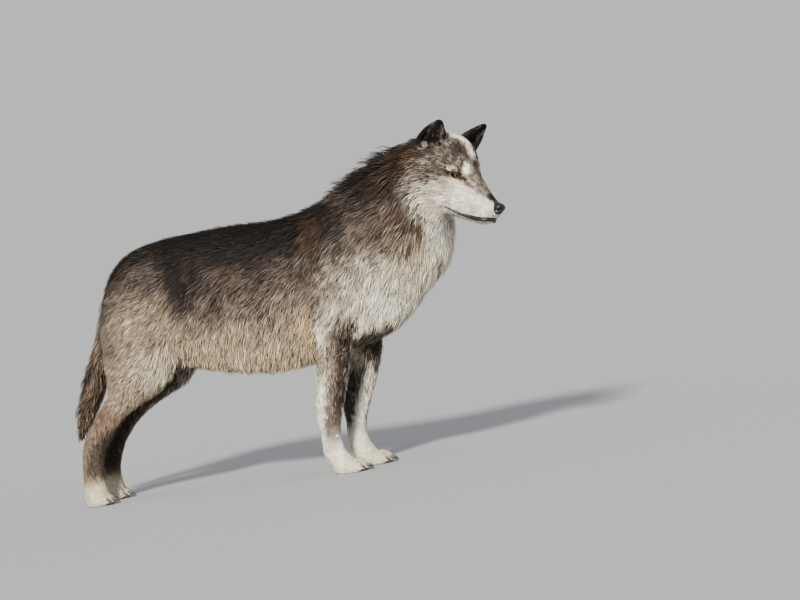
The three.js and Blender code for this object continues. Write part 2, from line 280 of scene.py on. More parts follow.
def swept(path, up, half, height, columns=10):
    """Closed tube: an ellipse carried along a path, its half width across and its half height along up."""
    way = unit(np.gradient(path, axis=0))
    across = unit(np.cross(way, up))
    rise = np.cross(across, way)
    angle = circle(columns)
    ring = across[:, None] * (half[:, None] * np.cos(angle))[..., None]
    ring = ring + rise[:, None] * (height[:, None] * np.sin(angle))[..., None]
    return capped_tube(path[:, None] + ring)


def joined(solids):
    """Several (points, triangles) as one; each is turned outward if its volume comes out negative."""
    points, faces, count = [], [], 0
    for co, tri in solids:
        a, b, c = co[tri].transpose(1, 0, 2)
        points.append(co)
        faces.append((tri[:, ::-1] if (np.cross(a, b) * c).sum() < 0 else tri) + count)
        count += len(co)
    return np.vstack(points), np.vstack(faces)


def new_piece(name, points, faces, material, colours):
    """A piece of the model with one linear colour for each point, or one for all."""
    mesh = new_mesh(name, points, faces)
    mesh.shade_smooth()
    mesh.materials.append(material)
    rgba = np.ones((len(points), 4), np.float32)
    rgba[:, :3] = colours
    mesh.color_attributes.new(COLOUR, "FLOAT_COLOR", "POINT").data.foreach_set("color", rgba.ravel())
    piece = new_object(name, mesh)
    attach(piece, "root")
    return piece


def set_map(piece, flat):
    """Stores the places that keep each face corner apart on the baked picture."""
    piece.data.uv_layers.new(name="OFBake").data.foreach_set("uv", flat.astype(np.float32).ravel())


# ---- The animal's chart and the head's own frame ----
# The animal is measured in millimetres from a mark on its middle plane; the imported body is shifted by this.
CHART_SHIFT = np.array([-0.25584, 0.0, 0.0])
HEAD_PLACE = np.array([790.0, -30.0, 717.0])
HEAD_TURN = np.array(turned(((-26, "Z"), (21, "Y"), (-13, "X"))))


def to_chart(points):
    """Metres in the body's frame to millimetres on the animal's chart."""
    return (points - CHART_SHIFT) * 1000


def from_chart(points):
    """Millimetres on the animal's chart to metres in the body's frame."""
    return points / 1000 + CHART_SHIFT


def to_head(chart):
    """Chart to the head's frame: +X along the muzzle, origin midway between the eyes."""
    return (chart - HEAD_PLACE) @ HEAD_TURN


def in_body(points):
    """Head frame in millimetres to the body's frame in metres."""
    return from_chart(points @ HEAD_TURN.T + HEAD_PLACE)


# ---- Coat chart ----
# Each row: x, y out from the middle, z; depth of the coat over the skin; length of a tuft; share that it
# follows the body instead of hanging free; and the way the hair lies, x, y out, z.
BODY_COAT = np.array([
    [700, 0, 830, 22, 52, 0.7, -0.9, 0, -0.35], [600, 0, 785, 24, 54, 0.7, -0.95, 0, -0.35],  # nape, mane
    [500, 0, 748, 22, 52, 0.8, -0.95, 0, -0.25], [410, 0, 715, 18, 46, 0.85, -1, 0, -0.1],  # withers
    [200, 0, 682, 14, 40, 0.9, -1, 0, -0.05], [0, 0, 676, 13, 36, 0.9, -1, 0, -0.05],  # back, loin
    [-150, 0, 650, 13, 36, 0.9, -0.95, 0, -0.3], [-240, 40, 540, 12, 36, 0.8, -0.4, 0, -0.9],
    [430, 130, 600, 15, 42, 0.9, -0.7, 0, -0.75], [420, 130, 480, 12, 36, 0.9, -0.45, 0, -0.9],
    [250, 136, 560, 14, 40, 0.9, -0.85, 0, -0.5], [250, 125, 440, 15, 44, 0.8, -0.5, 0, -0.85],  # ribs
    [200, 80, 340, 22, 52, 0.35, -0.25, 0, -1], [100, 80, 350, 20, 50, 0.35, -0.25, 0, -1],
    [300, 80, 345, 20, 50, 0.35, -0.3, 0, -1], [200, 0, 300, 20, 44, 0.5, -0.6, 0, -0.5],  # belly
    [60, 110, 440, 14, 42, 0.8, -0.5, 0, -0.85], [0, 60, 350, 16, 42, 0.5, -0.4, 0, -0.9],  # flank
    [-100, 116, 570, 13, 36, 0.9, -0.85, 0, -0.5], [-150, 105, 470, 12, 36, 0.9, -0.85, 0, -0.55],  # thigh
    [-180, 100, 380, 11, 34, 0.85, -0.8, 0, -0.6], [-210, 98, 300, 8, 28, 0.85, -0.7, 0, -0.7],
    [-265, 100, 225, 5.5, 20, 0.9, -0.4, 0, -0.9], [-310, 90, 160, 4, 15, 0.9, -0.2, 0, -1],  # shank, hock
    [-330, 95, 90, 3.5, 13, 0.9, 0, 0, -1], [-330, 75, 45, 3, 11, 0.9, 0.4, 0, -0.8],
    [-300, 75, 25, 2.6, 9, 0.9, 0.9, 0, -0.35], [380, 110, 330, 8, 28, 0.85, -0.3, 0, -0.95],
    [370, 104, 250, 5.5, 20, 0.9, -0.12, 0, -1], [345, 98, 165, 4, 14, 0.9, -0.05, 0, -1],  # forearm, wrist
    [340, 98, 100, 3.5, 12, 0.9, 0, 0, -1], [350, 75, 50, 3, 11, 0.9, 0.4, 0, -0.8],
    [400, 75, 25, 2.6, 9, 0.9, 0.9, 0, -0.35], [590, 0, 400, 20, 52, 0.4, -0.15, 0, -1],  # forepaw, breast
    [660, 0, 465, 20, 54, 0.4, -0.1, 0, -1], [720, 0, 560, 20, 52, 0.4, -0.15, 0, -1],  # throat
    [420, 0, 318, 14, 42, 0.6, -0.7, 0, -0.7], [500, 60, 345, 14, 40, 0.7, -0.5, 0, -0.85],
    [600, 125, 640, 20, 52, 0.8, -0.7, 0, -0.7], [670, 118, 600, 20, 54, 0.65, -0.5, 0, -0.9],
    [540, 130, 540, 16, 46, 0.8, -0.5, 0, -0.85], [620, 100, 500, 18, 50, 0.6, -0.35, 0, -0.95],
])
HEAD_COAT = np.array([
    [124, 0, -36, 0.8, 4, 1, -1, 0, 0.1], [80, 0, -12, 1.4, 8, 1, -1, 0, 0.1],  # behind the nose, bridge
    [95, 30, -55, 1.5, 8, 1, -1, 0, -0.08], [60, 38, -60, 2, 10, 1, -1, 0, -0.1],  # side of the muzzle
    [100, 25, -80, 1, 7, 1, -1, 0, -0.2], [105, 0, -98, 1.6, 9, 1, -1, 0, -0.2],  # lip, chin
    [50, 20, -104, 3, 14, 0.9, -1, 0, -0.4], [30, 0, 28, 1.6, 9, 1, -0.8, 0, 0.5],  # jaw, stop
    [30, 30, 0, 1.2, 7, 1, -0.9, 0.1, 0.1], [14, 50, -22, 1.8, 9, 1, -0.95, 0.1, -0.3],  # under the eye
    [8, 42, 24, 1.8, 9, 1, -0.8, 0.15, 0.5], [-20, 0, 84, 3.5, 14, 1, -0.95, 0, 0.3],  # brow, forehead
    [-60, 0, 97, 5, 20, 0.9, -1, 0, 0], [-35, 72, 25, 3.5, 16, 0.95, -0.95, 0.1, 0.05],  # crown, temple
    [-60, 85, 20, 6, 22, 0.9, -0.95, 0.1, -0.1], [-20, 72, -40, 6, 22, 0.9, -0.9, 0.2, -0.4],  # cheek
    [0, 55, -75, 5, 20, 0.9, -0.9, 0.1, -0.5], [-60, 96, -35, 11, 36, 0.7, -0.75, 0.35, -0.65],
    [-90, 103, -55, 16, 46, 0.55, -0.6, 0.4, -0.85], [-60, 75, -105, 14, 44, 0.5, -0.6, 0.2, -0.9],  # ruff
    [-30, 0, -112, 9, 32, 0.6, -0.8, 0, -0.75], [-90, 0, -117, 14, 42, 0.5, -0.7, 0, -0.85],  # throat
    [-125, 60, 60, 14, 40, 0.85, -1, 0, -0.15], [-120, 90, 0, 16, 46, 0.7, -0.8, 0.2, -0.6],
])
EARS = {
    "ear_right": {"base": (-97, -58, 30), "tip": (-62, -82, 127), "opens": (0.6, -0.75, 0.1)},
    "ear_left": {"base": (-86, 57, 42), "tip": (-48, 90, 139), "opens": (1, 0.05, 0.1)},
}
EAR_COAT = (1.0, 9.0, 1.0)
TAIL_COAT = (18.0, 46.0, 0.75)
TAIL_LINE = np.array([[-214, 0, 579], [-255, 0, 446], [-313, 0, 318], [-342, 0, 257], [-371, 0, 175]])


def from_rows(points, rows, reach):
    """Rows' values blended at each point, each row weighing 1 / (distance² + reach²)²."""
    outward = points * [1, 0, 1] + np.abs(points) * [0, 1, 0]
    total = np.zeros((len(points), rows.shape[1] - 3))
    weights = np.zeros((len(points), 1))
    for row in rows:
        weight = 1 / (((outward - row[:3]) ** 2).sum(1, keepdims=True) + reach**2) ** 2
        total += weight * row[3:]
        weights += weight
    total[:, 4] *= np.sign(points[:, 1])
    return total / weights


def coat_at(chart, share):
    """Depth, length, hug and lie of the coat at points, from the rows of body and head and the fixed coats
    of ears and tail, blended by each sub-part's share."""
    head = from_rows(to_head(chart), HEAD_COAT, HEAD_REACH)
    head[:, 3:] = head[:, 3:] @ HEAD_TURN.T
    body = from_rows(chart, BODY_COAT, BODY_REACH)
    field = blend(body, head, (share["head"] + share["jaw"])[:, None])
    for name, ear in EARS.items():
        axis = unit(np.subtract(ear["tip"], ear["base"])) @ HEAD_TURN.T
        field = blend(field, np.array([*EAR_COAT, *axis]), share[name][:, None])
    nearest = np.argmin(((chart[:, None] - TAIL_LINE) ** 2).sum(2), axis=1)
    ahead = np.minimum(nearest + 1, len(TAIL_LINE) - 1)
    lie = unit(TAIL_LINE[ahead] - TAIL_LINE[ahead - 1])
    tail = np.hstack([np.tile(TAIL_COAT, (len(chart), 1)), lie])
    return blend(field, tail, share["tail"][:, None])


# ---- Eyes ----
EYE_RADIUS = 12.0
SLIT_HALF = 11.6  # half the length of the opening between the lids
UPPER_LID = 6.9
LOWER_LID = 5.4
SLIT_TILT = math.radians(16)  # the outer corner stands higher
SLIT_POWER = 1.6
LID_THICK = 1.4
LID_SOFT = 2.2  # how gently the lid runs into the brow and cheek
BROW_RING = (20, 28)  # the skin this far from an eye's middle sets the slope of brow and cheek
LID_RING = (17, 26)  # between these distances the lid gives way to the skin as it is


class Eye:
    """One eye's own frame: u along the slit to its outer corner, v up, w out of the head."""

    def __init__(self, side):
        """side is -1 on the right and 1 on the left."""
        self.centre = np.array([-2.0, 37.0 * side, 0.0])
        self.gaze = unit(np.array([0.82, 0.57 * side, 0.05]))
        self.out = unit(np.array([0.60, 0.79 * side, 0.10]))
        level = unit(np.array([-0.79, 0.60 * side, 0.0]))
        level = unit(level - level @ self.out * self.out)
        up = unit(np.cross(self.out, level) * -side)
        self.along = level * math.cos(SLIT_TILT) + up * math.sin(SLIT_TILT)
        self.up = up * math.cos(SLIT_TILT) - level * math.sin(SLIT_TILT)

    def local(self, points):
        """Points in the head's frame as u, v and w."""
        d = points - self.centre
        return d @ self.along, d @ self.up, d @ self.out

    def place(self, u, v, w):
        """u, v and w as points in the head's frame."""
        return self.centre + u[..., None] * self.along + v[..., None] * self.up + w[..., None] * self.out

    def opening(self, u, v):
        """1 on the edge of the opening: an almond, as |u|^1.6 and |v|^1.6 over its half sizes."""
        height = np.where(v > 0, UPPER_LID, LOWER_LID)
        return np.abs(u / SLIT_HALF) ** SLIT_POWER + np.abs(v / height) ** SLIT_POWER

    def fit_brow(self, points):
        """Least-squares quadratic w(u, v) through the skin in a ring round the eye."""
        u, v, w = self.local(points)
        r = np.hypot(u, v)
        ring = (r > BROW_RING[0]) & (r < BROW_RING[1]) & (w > -16)
        self.brow = np.linalg.lstsq(self.terms(u[ring], v[ring]), w[ring], rcond=None)[0]

    @staticmethod
    def terms(u, v):
        """The terms of a quadratic in u and v."""
        return np.stack([np.ones_like(u), u, v, u * u, u * v, v * v], axis=-1)

    def lid_height(self, u, v):
        """Soft maximum of the ball with its lid over it and the skin of the brow and cheek."""
        lid = dome(EYE_RADIUS + LID_THICK, u, v, 0.01)
        return LID_SOFT * np.logaddexp(lid / LID_SOFT, self.terms(u, v) @ self.brow / LID_SOFT) - 0.6


def dome(radius, u, v, least):
    """Height of a ball over (u, v): the root of radius² - u² - v², or of the least value given."""
    return np.sqrt(np.maximum(radius**2 - u * u - v * v, least))


EYES = {"eye_right": Eye(-1), "eye_left": Eye(1)}

# ---- Skin ----
SKIN_VOXEL = 0.003
SKIN_TRIANGLES = 150000
OVERLAP = 0.0005  # the sub-parts are pushed out by this much, so that they run into each other
SKIN_DEPTH = 0.9  # how far the skin lies under the flesh's surface, over the coat's depth
SOLE = 0.0004  # least height of the skin over the floor
BODY_REACH = 12  # in mm: nearer than this, a row's weight hardly grows any more
HEAD_REACH = 6
SHEET_GAP = 0.006
SHEET_MARGIN = 0.0075  # bare edge of the unit square
SHELF_SPARE = 1.12  # width of the shelves over the side of a square of the sheets' own area


def gather_flesh():
    """All the flesh as one mesh of overlapping closed bodies, and each triangle's sub-part."""
    solids, parts = [], []
    for index, name in enumerate(FLESH):
        co, tri = mesh_arrays(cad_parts[name].data)
        keys = np.round(co * 1e6).astype(np.int64)
        _, first, same = np.unique(keys, axis=0, return_index=True, return_inverse=True)
        co, tri = co[first], same.ravel()[tri]
        tri = tri[(tri != tri[:, [1, 2, 0]]).all(1)]
        solids.append((co + point_normals(co, tri) * OVERLAP, tri))
        parts.append(np.full(len(tri), index))
    return *joined(solids), np.concatenate(parts)


def modified(mesh, kind, **settings):
    """The mesh after one modifier."""
    holder = new_object("holder", mesh)
    modifier = holder.modifiers.new("step", kind)
    for name, value in settings.items():
        setattr(modifier, name, value)
    graph = bpy.context.evaluated_depsgraph_get()
    made = bpy.data.meshes.new_from_object(holder.evaluated_get(graph), depsgraph=graph)
    bpy.data.objects.remove(holder)
    return made


def largest_body(points, tri):
    """The points and triangles of the largest connected body: labels spread along edges until they agree."""
    label, fresh = None, np.arange(len(points))
    while label is None or (fresh != label).any():
        label = fresh
        fresh = label.copy()
        for k in range(3):
            np.minimum.at(fresh, tri[:, k], label[tri].min(1))
        fresh = fresh[fresh]
    keep = label[tri[:, 0]] == np.bincount(label[tri[:, 0]]).argmax()
    used, index = np.unique(tri[keep], return_inverse=True)
    return points[used], index.reshape(-1, 3)


class Skin:
    """The body's skin under the coat, with what the coat needs to know at each of its points."""

    def __init__(self):
        """The flesh made one surface and moved inward by the depth of the coat, then smoothed."""
        flesh, flesh_tri, flesh_part = gather_flesh()
        whole = modified(new_mesh("flesh", flesh, flesh_tri), "REMESH", mode="VOXEL", voxel_size=SKIN_VOXEL)
        ratio = SKIN_TRIANGLES / (2 * len(whole.polygons))
        lighter = modified(whole, "DECIMATE", ratio=min(ratio, 1.0), use_collapse_triangulate=True)
        outer, self.tri = largest_body(*mesh_arrays(lighter))
        edges = np.sort(np.vstack([self.tri[:, [0, 1]], self.tri[:, [1, 2]], self.tri[:, [2, 0]]]), axis=1)
        edges = np.unique(edges, axis=0)
        finder = BVHTree.FromPolygons(flesh.tolist(), flesh_tri.tolist())
        self.part = flesh_part[[finder.find_nearest(p)[2] for p in outer.tolist()]]
        share = spread_over(edges, np.eye(len(FLESH))[self.part], 12)
        self.share = dict(zip(FLESH, share.T))
        field = spread_over(edges, coat_at(to_chart(outer), self.share), 6)
        self.depth, self.length, self.hug = field[:, :3].T
        soft = unit(spread_over(edges, point_normals(outer, self.tri), 8))
        inner = outer - soft * (self.depth * SKIN_DEPTH)[:, None] / 1000
        inner = spread_over(edges, inner, 2, keep=0.4)
        inner[:, 2] = np.maximum(inner[:, 2], SOLE)
        self.chart = to_chart(inner)
        self.points = self.with_lids(to_head(self.chart))
        self.soft = unit(spread_over(edges, point_normals(inner, self.tri), 6))
        lie = unit(field[:, 3:])
        lie = lie - (lie * self.soft).sum(1, keepdims=True) * self.soft
        self.lie = unit(spread_over(edges, unit(lie), 8))

    def with_lids(self, skin):
        """Lifts the skin round each eye onto the lids, and sinks it under the ball inside the opening."""
        for eye in EYES.values():
            eye.fit_brow(skin)
            u, v, w = eye.local(skin)
            near = (np.hypot(u, v) < LID_RING[1]) & (w > -22)
            u, v, w = u[near], v[near], w[near]
            inside = ease(1.12, 0.98, eye.opening(u, v))
            fresh = blend(eye.lid_height(u, v) - 0.5, dome(EYE_RADIUS, u, v, 9) - 4, inside)
            skin[near] = eye.place(u, v, blend(fresh, w, ease(*LID_RING, np.hypot(u, v))))
        return in_body(skin)

    def unwrap(self):
        """Lays each sub-part's six sides flat, left and right apart, on shelves in the unit square."""
        corners = self.points[self.tri]
        face = np.cross(corners[:, 1] - corners[:, 0], corners[:, 2] - corners[:, 0])
        axis = np.abs(face).argmax(1)
        forward = np.take_along_axis(face, axis[:, None], 1)[:, 0] > 0
        middle = corners.mean(1)
        part = self.part[self.tri[:, 0]]
        left = np.where(part < 2, to_head(to_chart(middle))[:, 1], middle[:, 1]) > 0
        sheet = ((part * 3 + axis) * 2 + forward) * 2 + left
        axis = axis[:, None]
        across = np.where(axis == 0, corners[..., 1], corners[..., 0])
        flat = np.stack([across, np.where(axis == 2, corners[..., 1], corners[..., 2])], axis=2)
        sheets = []
        for key in np.unique(sheet):
            mine = sheet == key
            low = flat[mine].min((0, 1))
            width, height = flat[mine].max((0, 1)) - low
            sheets.append((height, width, mine, low))
        sheets.sort(key=lambda entry: -entry[0])
        row_width = math.sqrt(sum(height * width for height, width, _, _ in sheets)) * SHELF_SPARE
        x = y = row_height = 0.0
        for height, width, mine, low in sheets:
            if x + width > row_width:
                x, y, row_height = 0.0, y + row_height + SHEET_GAP, 0.0
            flat[mine] += np.array([x, y]) - low
            x += width + SHEET_GAP
            row_height = max(row_height, height)
        return flat / flat.max() * (1 - 2 * SHEET_MARGIN) + SHEET_MARGIN


# ---- Markings ----
# Lines along the body as (x, height): its top, its underside, and the lower edge of the silver shoulder.
BACK_LINE = ((-240, 560), (-168, 640), (0, 675), (225, 680), (402, 718), (520, 760), (640, 815), (760, 845))
BELLY_LINE = ((-240, 330), (-168, 330), (0, 330), (225, 292), (410, 315), (505, 345), (655, 465), (760, 600))
SILVER_EDGE = ((370, 560), (450, 592), (520, 590), (600, 565), (650, 560), (700, 600))
# Lower edge of the saddle as (x, share of the height from underside to top).
SADDLE_EDGE = (
    (-240, 0.92), (-160, 0.94), (-60, 0.86), (-10, 0.70), (25, 0.62), (120, 0.71), (220, 0.71), (330, 0.72),
    (430, 0.72), (520, 0.66), (620, 0.60), (760, 0.60),
)
# At these heights up a foreleg its bands begin at these x: grizzled, dark brown, and pale again in front.
BAND_LEVELS = (60, 130, 195, 300, 380, 430)
BAND_EDGES = (
    (325, 328, 340, 362, 384, 392),
    (340, 348, 366, 396, 416, 424),
    (352, 366, 391, 424, 450, 470),
)
FORE_TOES = {"x": 386, "reach": 9, "spread": 18.5, "front": 31, "leads": {-1: 0, 1: 26}}
HIND_TOES = {"x": -320, "reach": 8, "spread": 17, "front": 28, "leads": {-1: 0, 1: -6}}
LEG_SPREAD = 74

SOOT = linear("#080605")
BLACK_BROWN = linear("#140f0c")
DARK_BROWN = linear("#2b2019")
UMBER = linear("#46352a")
RUST = linear("#744626")
GREY_BROWN = linear("#6f6055")
TAUPE = linear("#93857a")
GREY = linear("#a49d94")
BUFF = linear("#c6ab84")
TAWNY = linear("#b98552")
CREAM = linear("#ece0c6")
SILVER = linear("#e2dac6")
WHITE = linear("#fffaea")


class Hair:
    """Root and tip colour of the hair at points, painted mark over mark."""

    def __init__(self, points, root, tip):
        """The same root and tip colour at every point."""
        self.root, self.tip = (np.tile(colour, (len(points), 1)) for colour in (root, tip))

    def mark(self, mask, root, tip, strength=1.0, root_strength=1.0):
        """Lays on a root and a tip colour, in full where the mask is 1; None leaves one as it is."""
        if root is not None:
            self.root = blend(self.root, root, (mask * root_strength)[:, None])
        if tip is not None:
            self.tip = blend(self.tip, tip, (mask * strength)[:, None])


def spot(points, centre, radii):
    """1 at a centre, falling to 0 outside an ellipsoid of the given radii."""
    return 1 - ease(0.55, 1.15, np.linalg.norm((points - np.array(centre)) / np.array(radii), axis=1))


def trunk_markings(p):
    """Black saddle over a grey-brown flank, buff below; brown mane, silver shoulder and breast."""
    x, side, z = p[:, 0], np.abs(p[:, 1]), p[:, 2]
    patchy = noise(p, 70, 1) - 0.5
    fine = noise(p, 24, 2) - 0.5
    streaks = noise(p * [1, 1, 0.45], 13, 3) - 0.5
    bottom = along(BELLY_LINE, x)
    level = (z - bottom) / (along(BACK_LINE, x) - bottom) + 0.12 * (patchy + fine)
    hair = Hair(p, DARK_BROWN, TAUPE)
    mark = hair.mark
    low = ease(0.52, 0.22, level)
    mark(low, GREY_BROWN, BUFF * 0.6 + CREAM * 0.26)
    thigh = ease(20, -70, x)
    mark(thigh, GREY_BROWN * 0.8, BUFF * 0.4 + CREAM * 0.3)
    mark(thigh * spot(p, (-90, 0, 350), (80, 400, 60)), None, CREAM * 0.85)
    mark(thigh * ease(0.5, 0.75, level), None, TAUPE * 0.72)
    mark(thigh * ease(0.55, 0.8, level), DARK_BROWN, None)
    mark(thigh * ease(-135, -205, x) * ease(340, 430, z), None, TAUPE * 0.6, 0.85)
    front = ease(370, 460, x + 60 * patchy)
    edge = along(SILVER_EDGE, x)
    silver = front * ease(edge + 34, edge - 46, z + 60 * fine)
    mark(silver, GREY_BROWN, SILVER * 0.95)
    mark(silver * ease(500, 440, z), None, SILVER)
    mark(silver * ease(540, 440, x) * ease(520, 420, z), None, CREAM, 0.7)
    mark(front * ease(500, 400, z - 0.75 * (x - 560)), GREY, CREAM)
    throat = ease(672, 706, x + 40 * fine) * ease(730, 690, z) * ease(540, 600, z + 40 * patchy)
    mark(throat, SILVER * 0.7, WHITE)
    edge = along(SADDLE_EDGE, x)
    saddle = ease(edge - 0.22, edge + 0.06, level + 0.35 * streaks) * (1 - throat)
    mane = saddle * ease(430, 540, x)
    mark(saddle, SOOT, None)
    mark(saddle - mane, None, BLACK_BROWN)
    mark((saddle - mane) * ease(0.05, 0.2, streaks) * ease(1.0, 0.7, level), None, UMBER)
    crest = ease(0.66, 0.84, level)
    mark(mane * (1 - crest), None, UMBER * 0.6 + GREY_BROWN * 0.55)
    mark(mane * crest, None, DARK_BROWN * 0.8)
    dusky = ease(edge - 0.34, edge - 0.08, level) * (1 - silver) * (1 - thigh)
    mark(dusky * (1 - saddle), None, GREY_BROWN, 0.4)
    # painted shade: a dark wedge in the crease in front of the thigh
    mark(spot(p, (8, 0, 580), (40, 400, 95)), SOOT, BLACK_BROWN, 0.9, 0.8)
    mark(spot(p, (395, 0, 640), (46, 400, 50)), None, RUST * 0.12 + UMBER * 0.7, 0.7)
    mark(spot(p, (462, 0, 658), (46, 400, 52)), SOOT, BLACK_BROWN, 0.8)
    collar = np.maximum(spot(p, (632, 0, 628), (66, 400, 46)), spot(p, (640, 0, 740), (34, 400, 90)))
    mark(collar * (1 - throat) * ease(0.2, 0.45, noise(p, 34, 6)), SOOT, UMBER, 0.8, 0.85)
    grizzle = ease(0.04, -0.14, streaks) * (1 - saddle) * (1 - throat)
    mark(grizzle, DARK_BROWN, hair.tip * 0.48, 1 - 0.4 * low, 0.7)
    # painted shade: a dark line in the crease behind the elbow
    mark(spot(p, (368, 0, 435), (15, 400, 110)), BLACK_BROWN, UMBER, 0.6, 0.7)
    mark(spot(p, (545, 0, 455), (62, 400, 50)), None, WHITE, 0.8)
    mark(spot(p, (340, 0, 415), (36, 400, 60)), None, BUFF * 0.8 + TAWNY * 0.2, 0.8)
    foreleg_bands(hair, p, ease(432, 400, z + 30 * fine) * ease(350, 370, x) * ease(60, 84, side))
    # painted shade under the breast, where it overhangs the tops of the forelegs
    shade_under_breast = ease(425, 450, x) * ease(6, -14, z - 0.3 * (x - 470) - 380) * ease(112, 92, side)
    mark(shade_under_breast, BLACK_BROWN, UMBER, 0.9)
    mark(spot(p, (-60, 0, 360), (70, 90, 60)), None, CREAM, 0.4)
    # painted shade on the inner sides of the rump and thighs, between the hind legs
    mark(ease(78, 48, side) * ease(350, 420, z) * ease(-120, -170, x), SOOT, BLACK_BROWN, 0.85)
    mark(ease(74, 56, side) * ease(390, 330, z) * thigh, BLACK_BROWN, UMBER * 0.7, 0.9)
    return hair


def toe_creases(p, toes):
    """1 in the furrows between the toes: a bell 2 mm wide at each, from the knuckles forward."""
    side = np.where(p[:, 1] > 0, 1, -1)
    place = np.abs(p[:, 1] - side * LEG_SPREAD) / toes["spread"]
    off = (place - np.round(place)) * toes["spread"]
    forward = p[:, 0] - toes["x"] - np.where(side > 0, toes["leads"][1], 0)
    return np.exp(-((off / 2.2) ** 2)) * (place < 1.5) * ease(2, 16, forward) * ease(46, 30, p[:, 2])


def foreleg_bands(hair, p, where):
    """Down the outside of a foreleg, from behind: a pale edge, grizzled grey, dark brown, a pale edge."""
    z = p[:, 2]
    x = p[:, 0] - np.where(p[:, 1] > 0, 26 + 14 * ease(60, 280, z), 0) + 10 * (noise(p, 14, 11) - 0.5)
    behind, dark, ahead = (np.interp(z, BAND_LEVELS, edge) for edge in BAND_EDGES)
    reached = ease(ahead + 3, ahead - 3, x) * where
    grizzled = ease(behind - 5, behind + 8, x) * reached * ease(60, 130, z)
    hair.mark(np.maximum(ease(behind, behind - 8, x), ease(ahead, ahead + 6, x)) * where, SILVER, WHITE)
    hair.mark(grizzled, GREY_BROWN * 0.6, GREY_BROWN)
    hair.mark(grizzled * ease(0.35, 0.65, noise(p, 7, 12)) * 0.7, GREY_BROWN, SILVER * 0.8)
    hair.mark(ease(dark - 8, dark + 5, x) * reached * ease(120, 190, z) * 0.9, BLACK_BROWN, UMBER)


def foreleg_markings(p):
    """Banded outside; the inside of the left leg cream, with a painted shadow of the right leg over its back
    part; cream paw.
    """
    x, side, z = p[:, 0], np.abs(p[:, 1]), p[:, 2]
    hair = Hair(p, SILVER * 0.7, WHITE)
    foreleg_bands(hair, p, ease(60, 84, side))
    # painted shadow: the right foreleg's shadow over the back part of the left leg's inside, up to this edge
    edge = along(((80, 352), (120, 364), (173, 380), (230, 404), (274, 432), (340, 470)), z)
    inner = ease(78, 66, side) * ease(edge + 4, edge - 8, x) * ease(90, 130, z) * (p[:, 1] > 0)
    hair.mark(inner, BLACK_BROWN, GREY_BROWN * 0.4, 0.95)
    hair.mark(ease(60, 30, z), None, CREAM, 0.9)
    hair.mark(toe_creases(p, FORE_TOES), DARK_BROWN, UMBER, 0.8)
    return hair


def hind_leg_markings(p):
    """Buff shank with a rusty tint, dusky hock and foot, cream paw."""
    z = p[:, 2]
    hair = Hair(p, GREY_BROWN * 0.8, BUFF * 0.5 + CREAM * 0.15)
    hair.mark(ease(150, 230, z) * ease(0.25, 0.6, noise(p, 30, 13)), None, TAWNY * 0.55, 0.6)
    centre = along(((18, -332), (112, -328), (160, -313), (210, -280), (256, -243)), z)
    ahead = p[:, 0] - centre + np.where(p[:, 1] > 0, 6, 0)
    dusky = ease(-0.75, -0.2, ahead / 30 + 0.6 * (noise(p, 26, 14) - 0.5))
    hair.mark(dusky * ease(55, 95, z) * ease(235, 175, z), SOOT, GREY_BROWN * 0.8, 0.85)
    # painted shade on the inner side of each hind leg, between the legs
    hair.mark(ease(72, 56, np.abs(p[:, 1])) * ease(70, 110, z), SOOT, UMBER * 0.7, 0.9)
    hair.mark(ease(82, 48, z), SILVER * 0.5, CREAM)
    hair.mark(toe_creases(p, HIND_TOES), DARK_BROWN, UMBER, 0.8)
    return hair


def tail_markings(p):
    """Brown and buff streaks, blackest down the back edge and at the very tip."""
    z = p[:, 2]
    centre = np.interp(-z, -TAIL_LINE[:, 2], TAIL_LINE[:, 0])
    ahead = (p[:, 0] - centre) / 35 + 0.8 * (noise(p, 20, 15) - 0.5)
    hair = Hair(p, BLACK_BROWN, GREY_BROWN * 0.8)
    hair.mark(ease(-0.1, 0.7, ahead), None, BUFF * 0.3 + GREY_BROWN * 0.6, 0.8)
    hair.mark(ease(-0.3, -0.9, ahead), None, BLACK_BROWN, 0.8)
    hair.mark(ease(320, 240, z) * ease(-0.6, 0.2, ahead), None, BUFF * 0.5 + GREY_BROWN * 0.5, 0.6)
    hair.mark(ease(205, 180, z), None, DARK_BROWN, 0.5)
    return hair


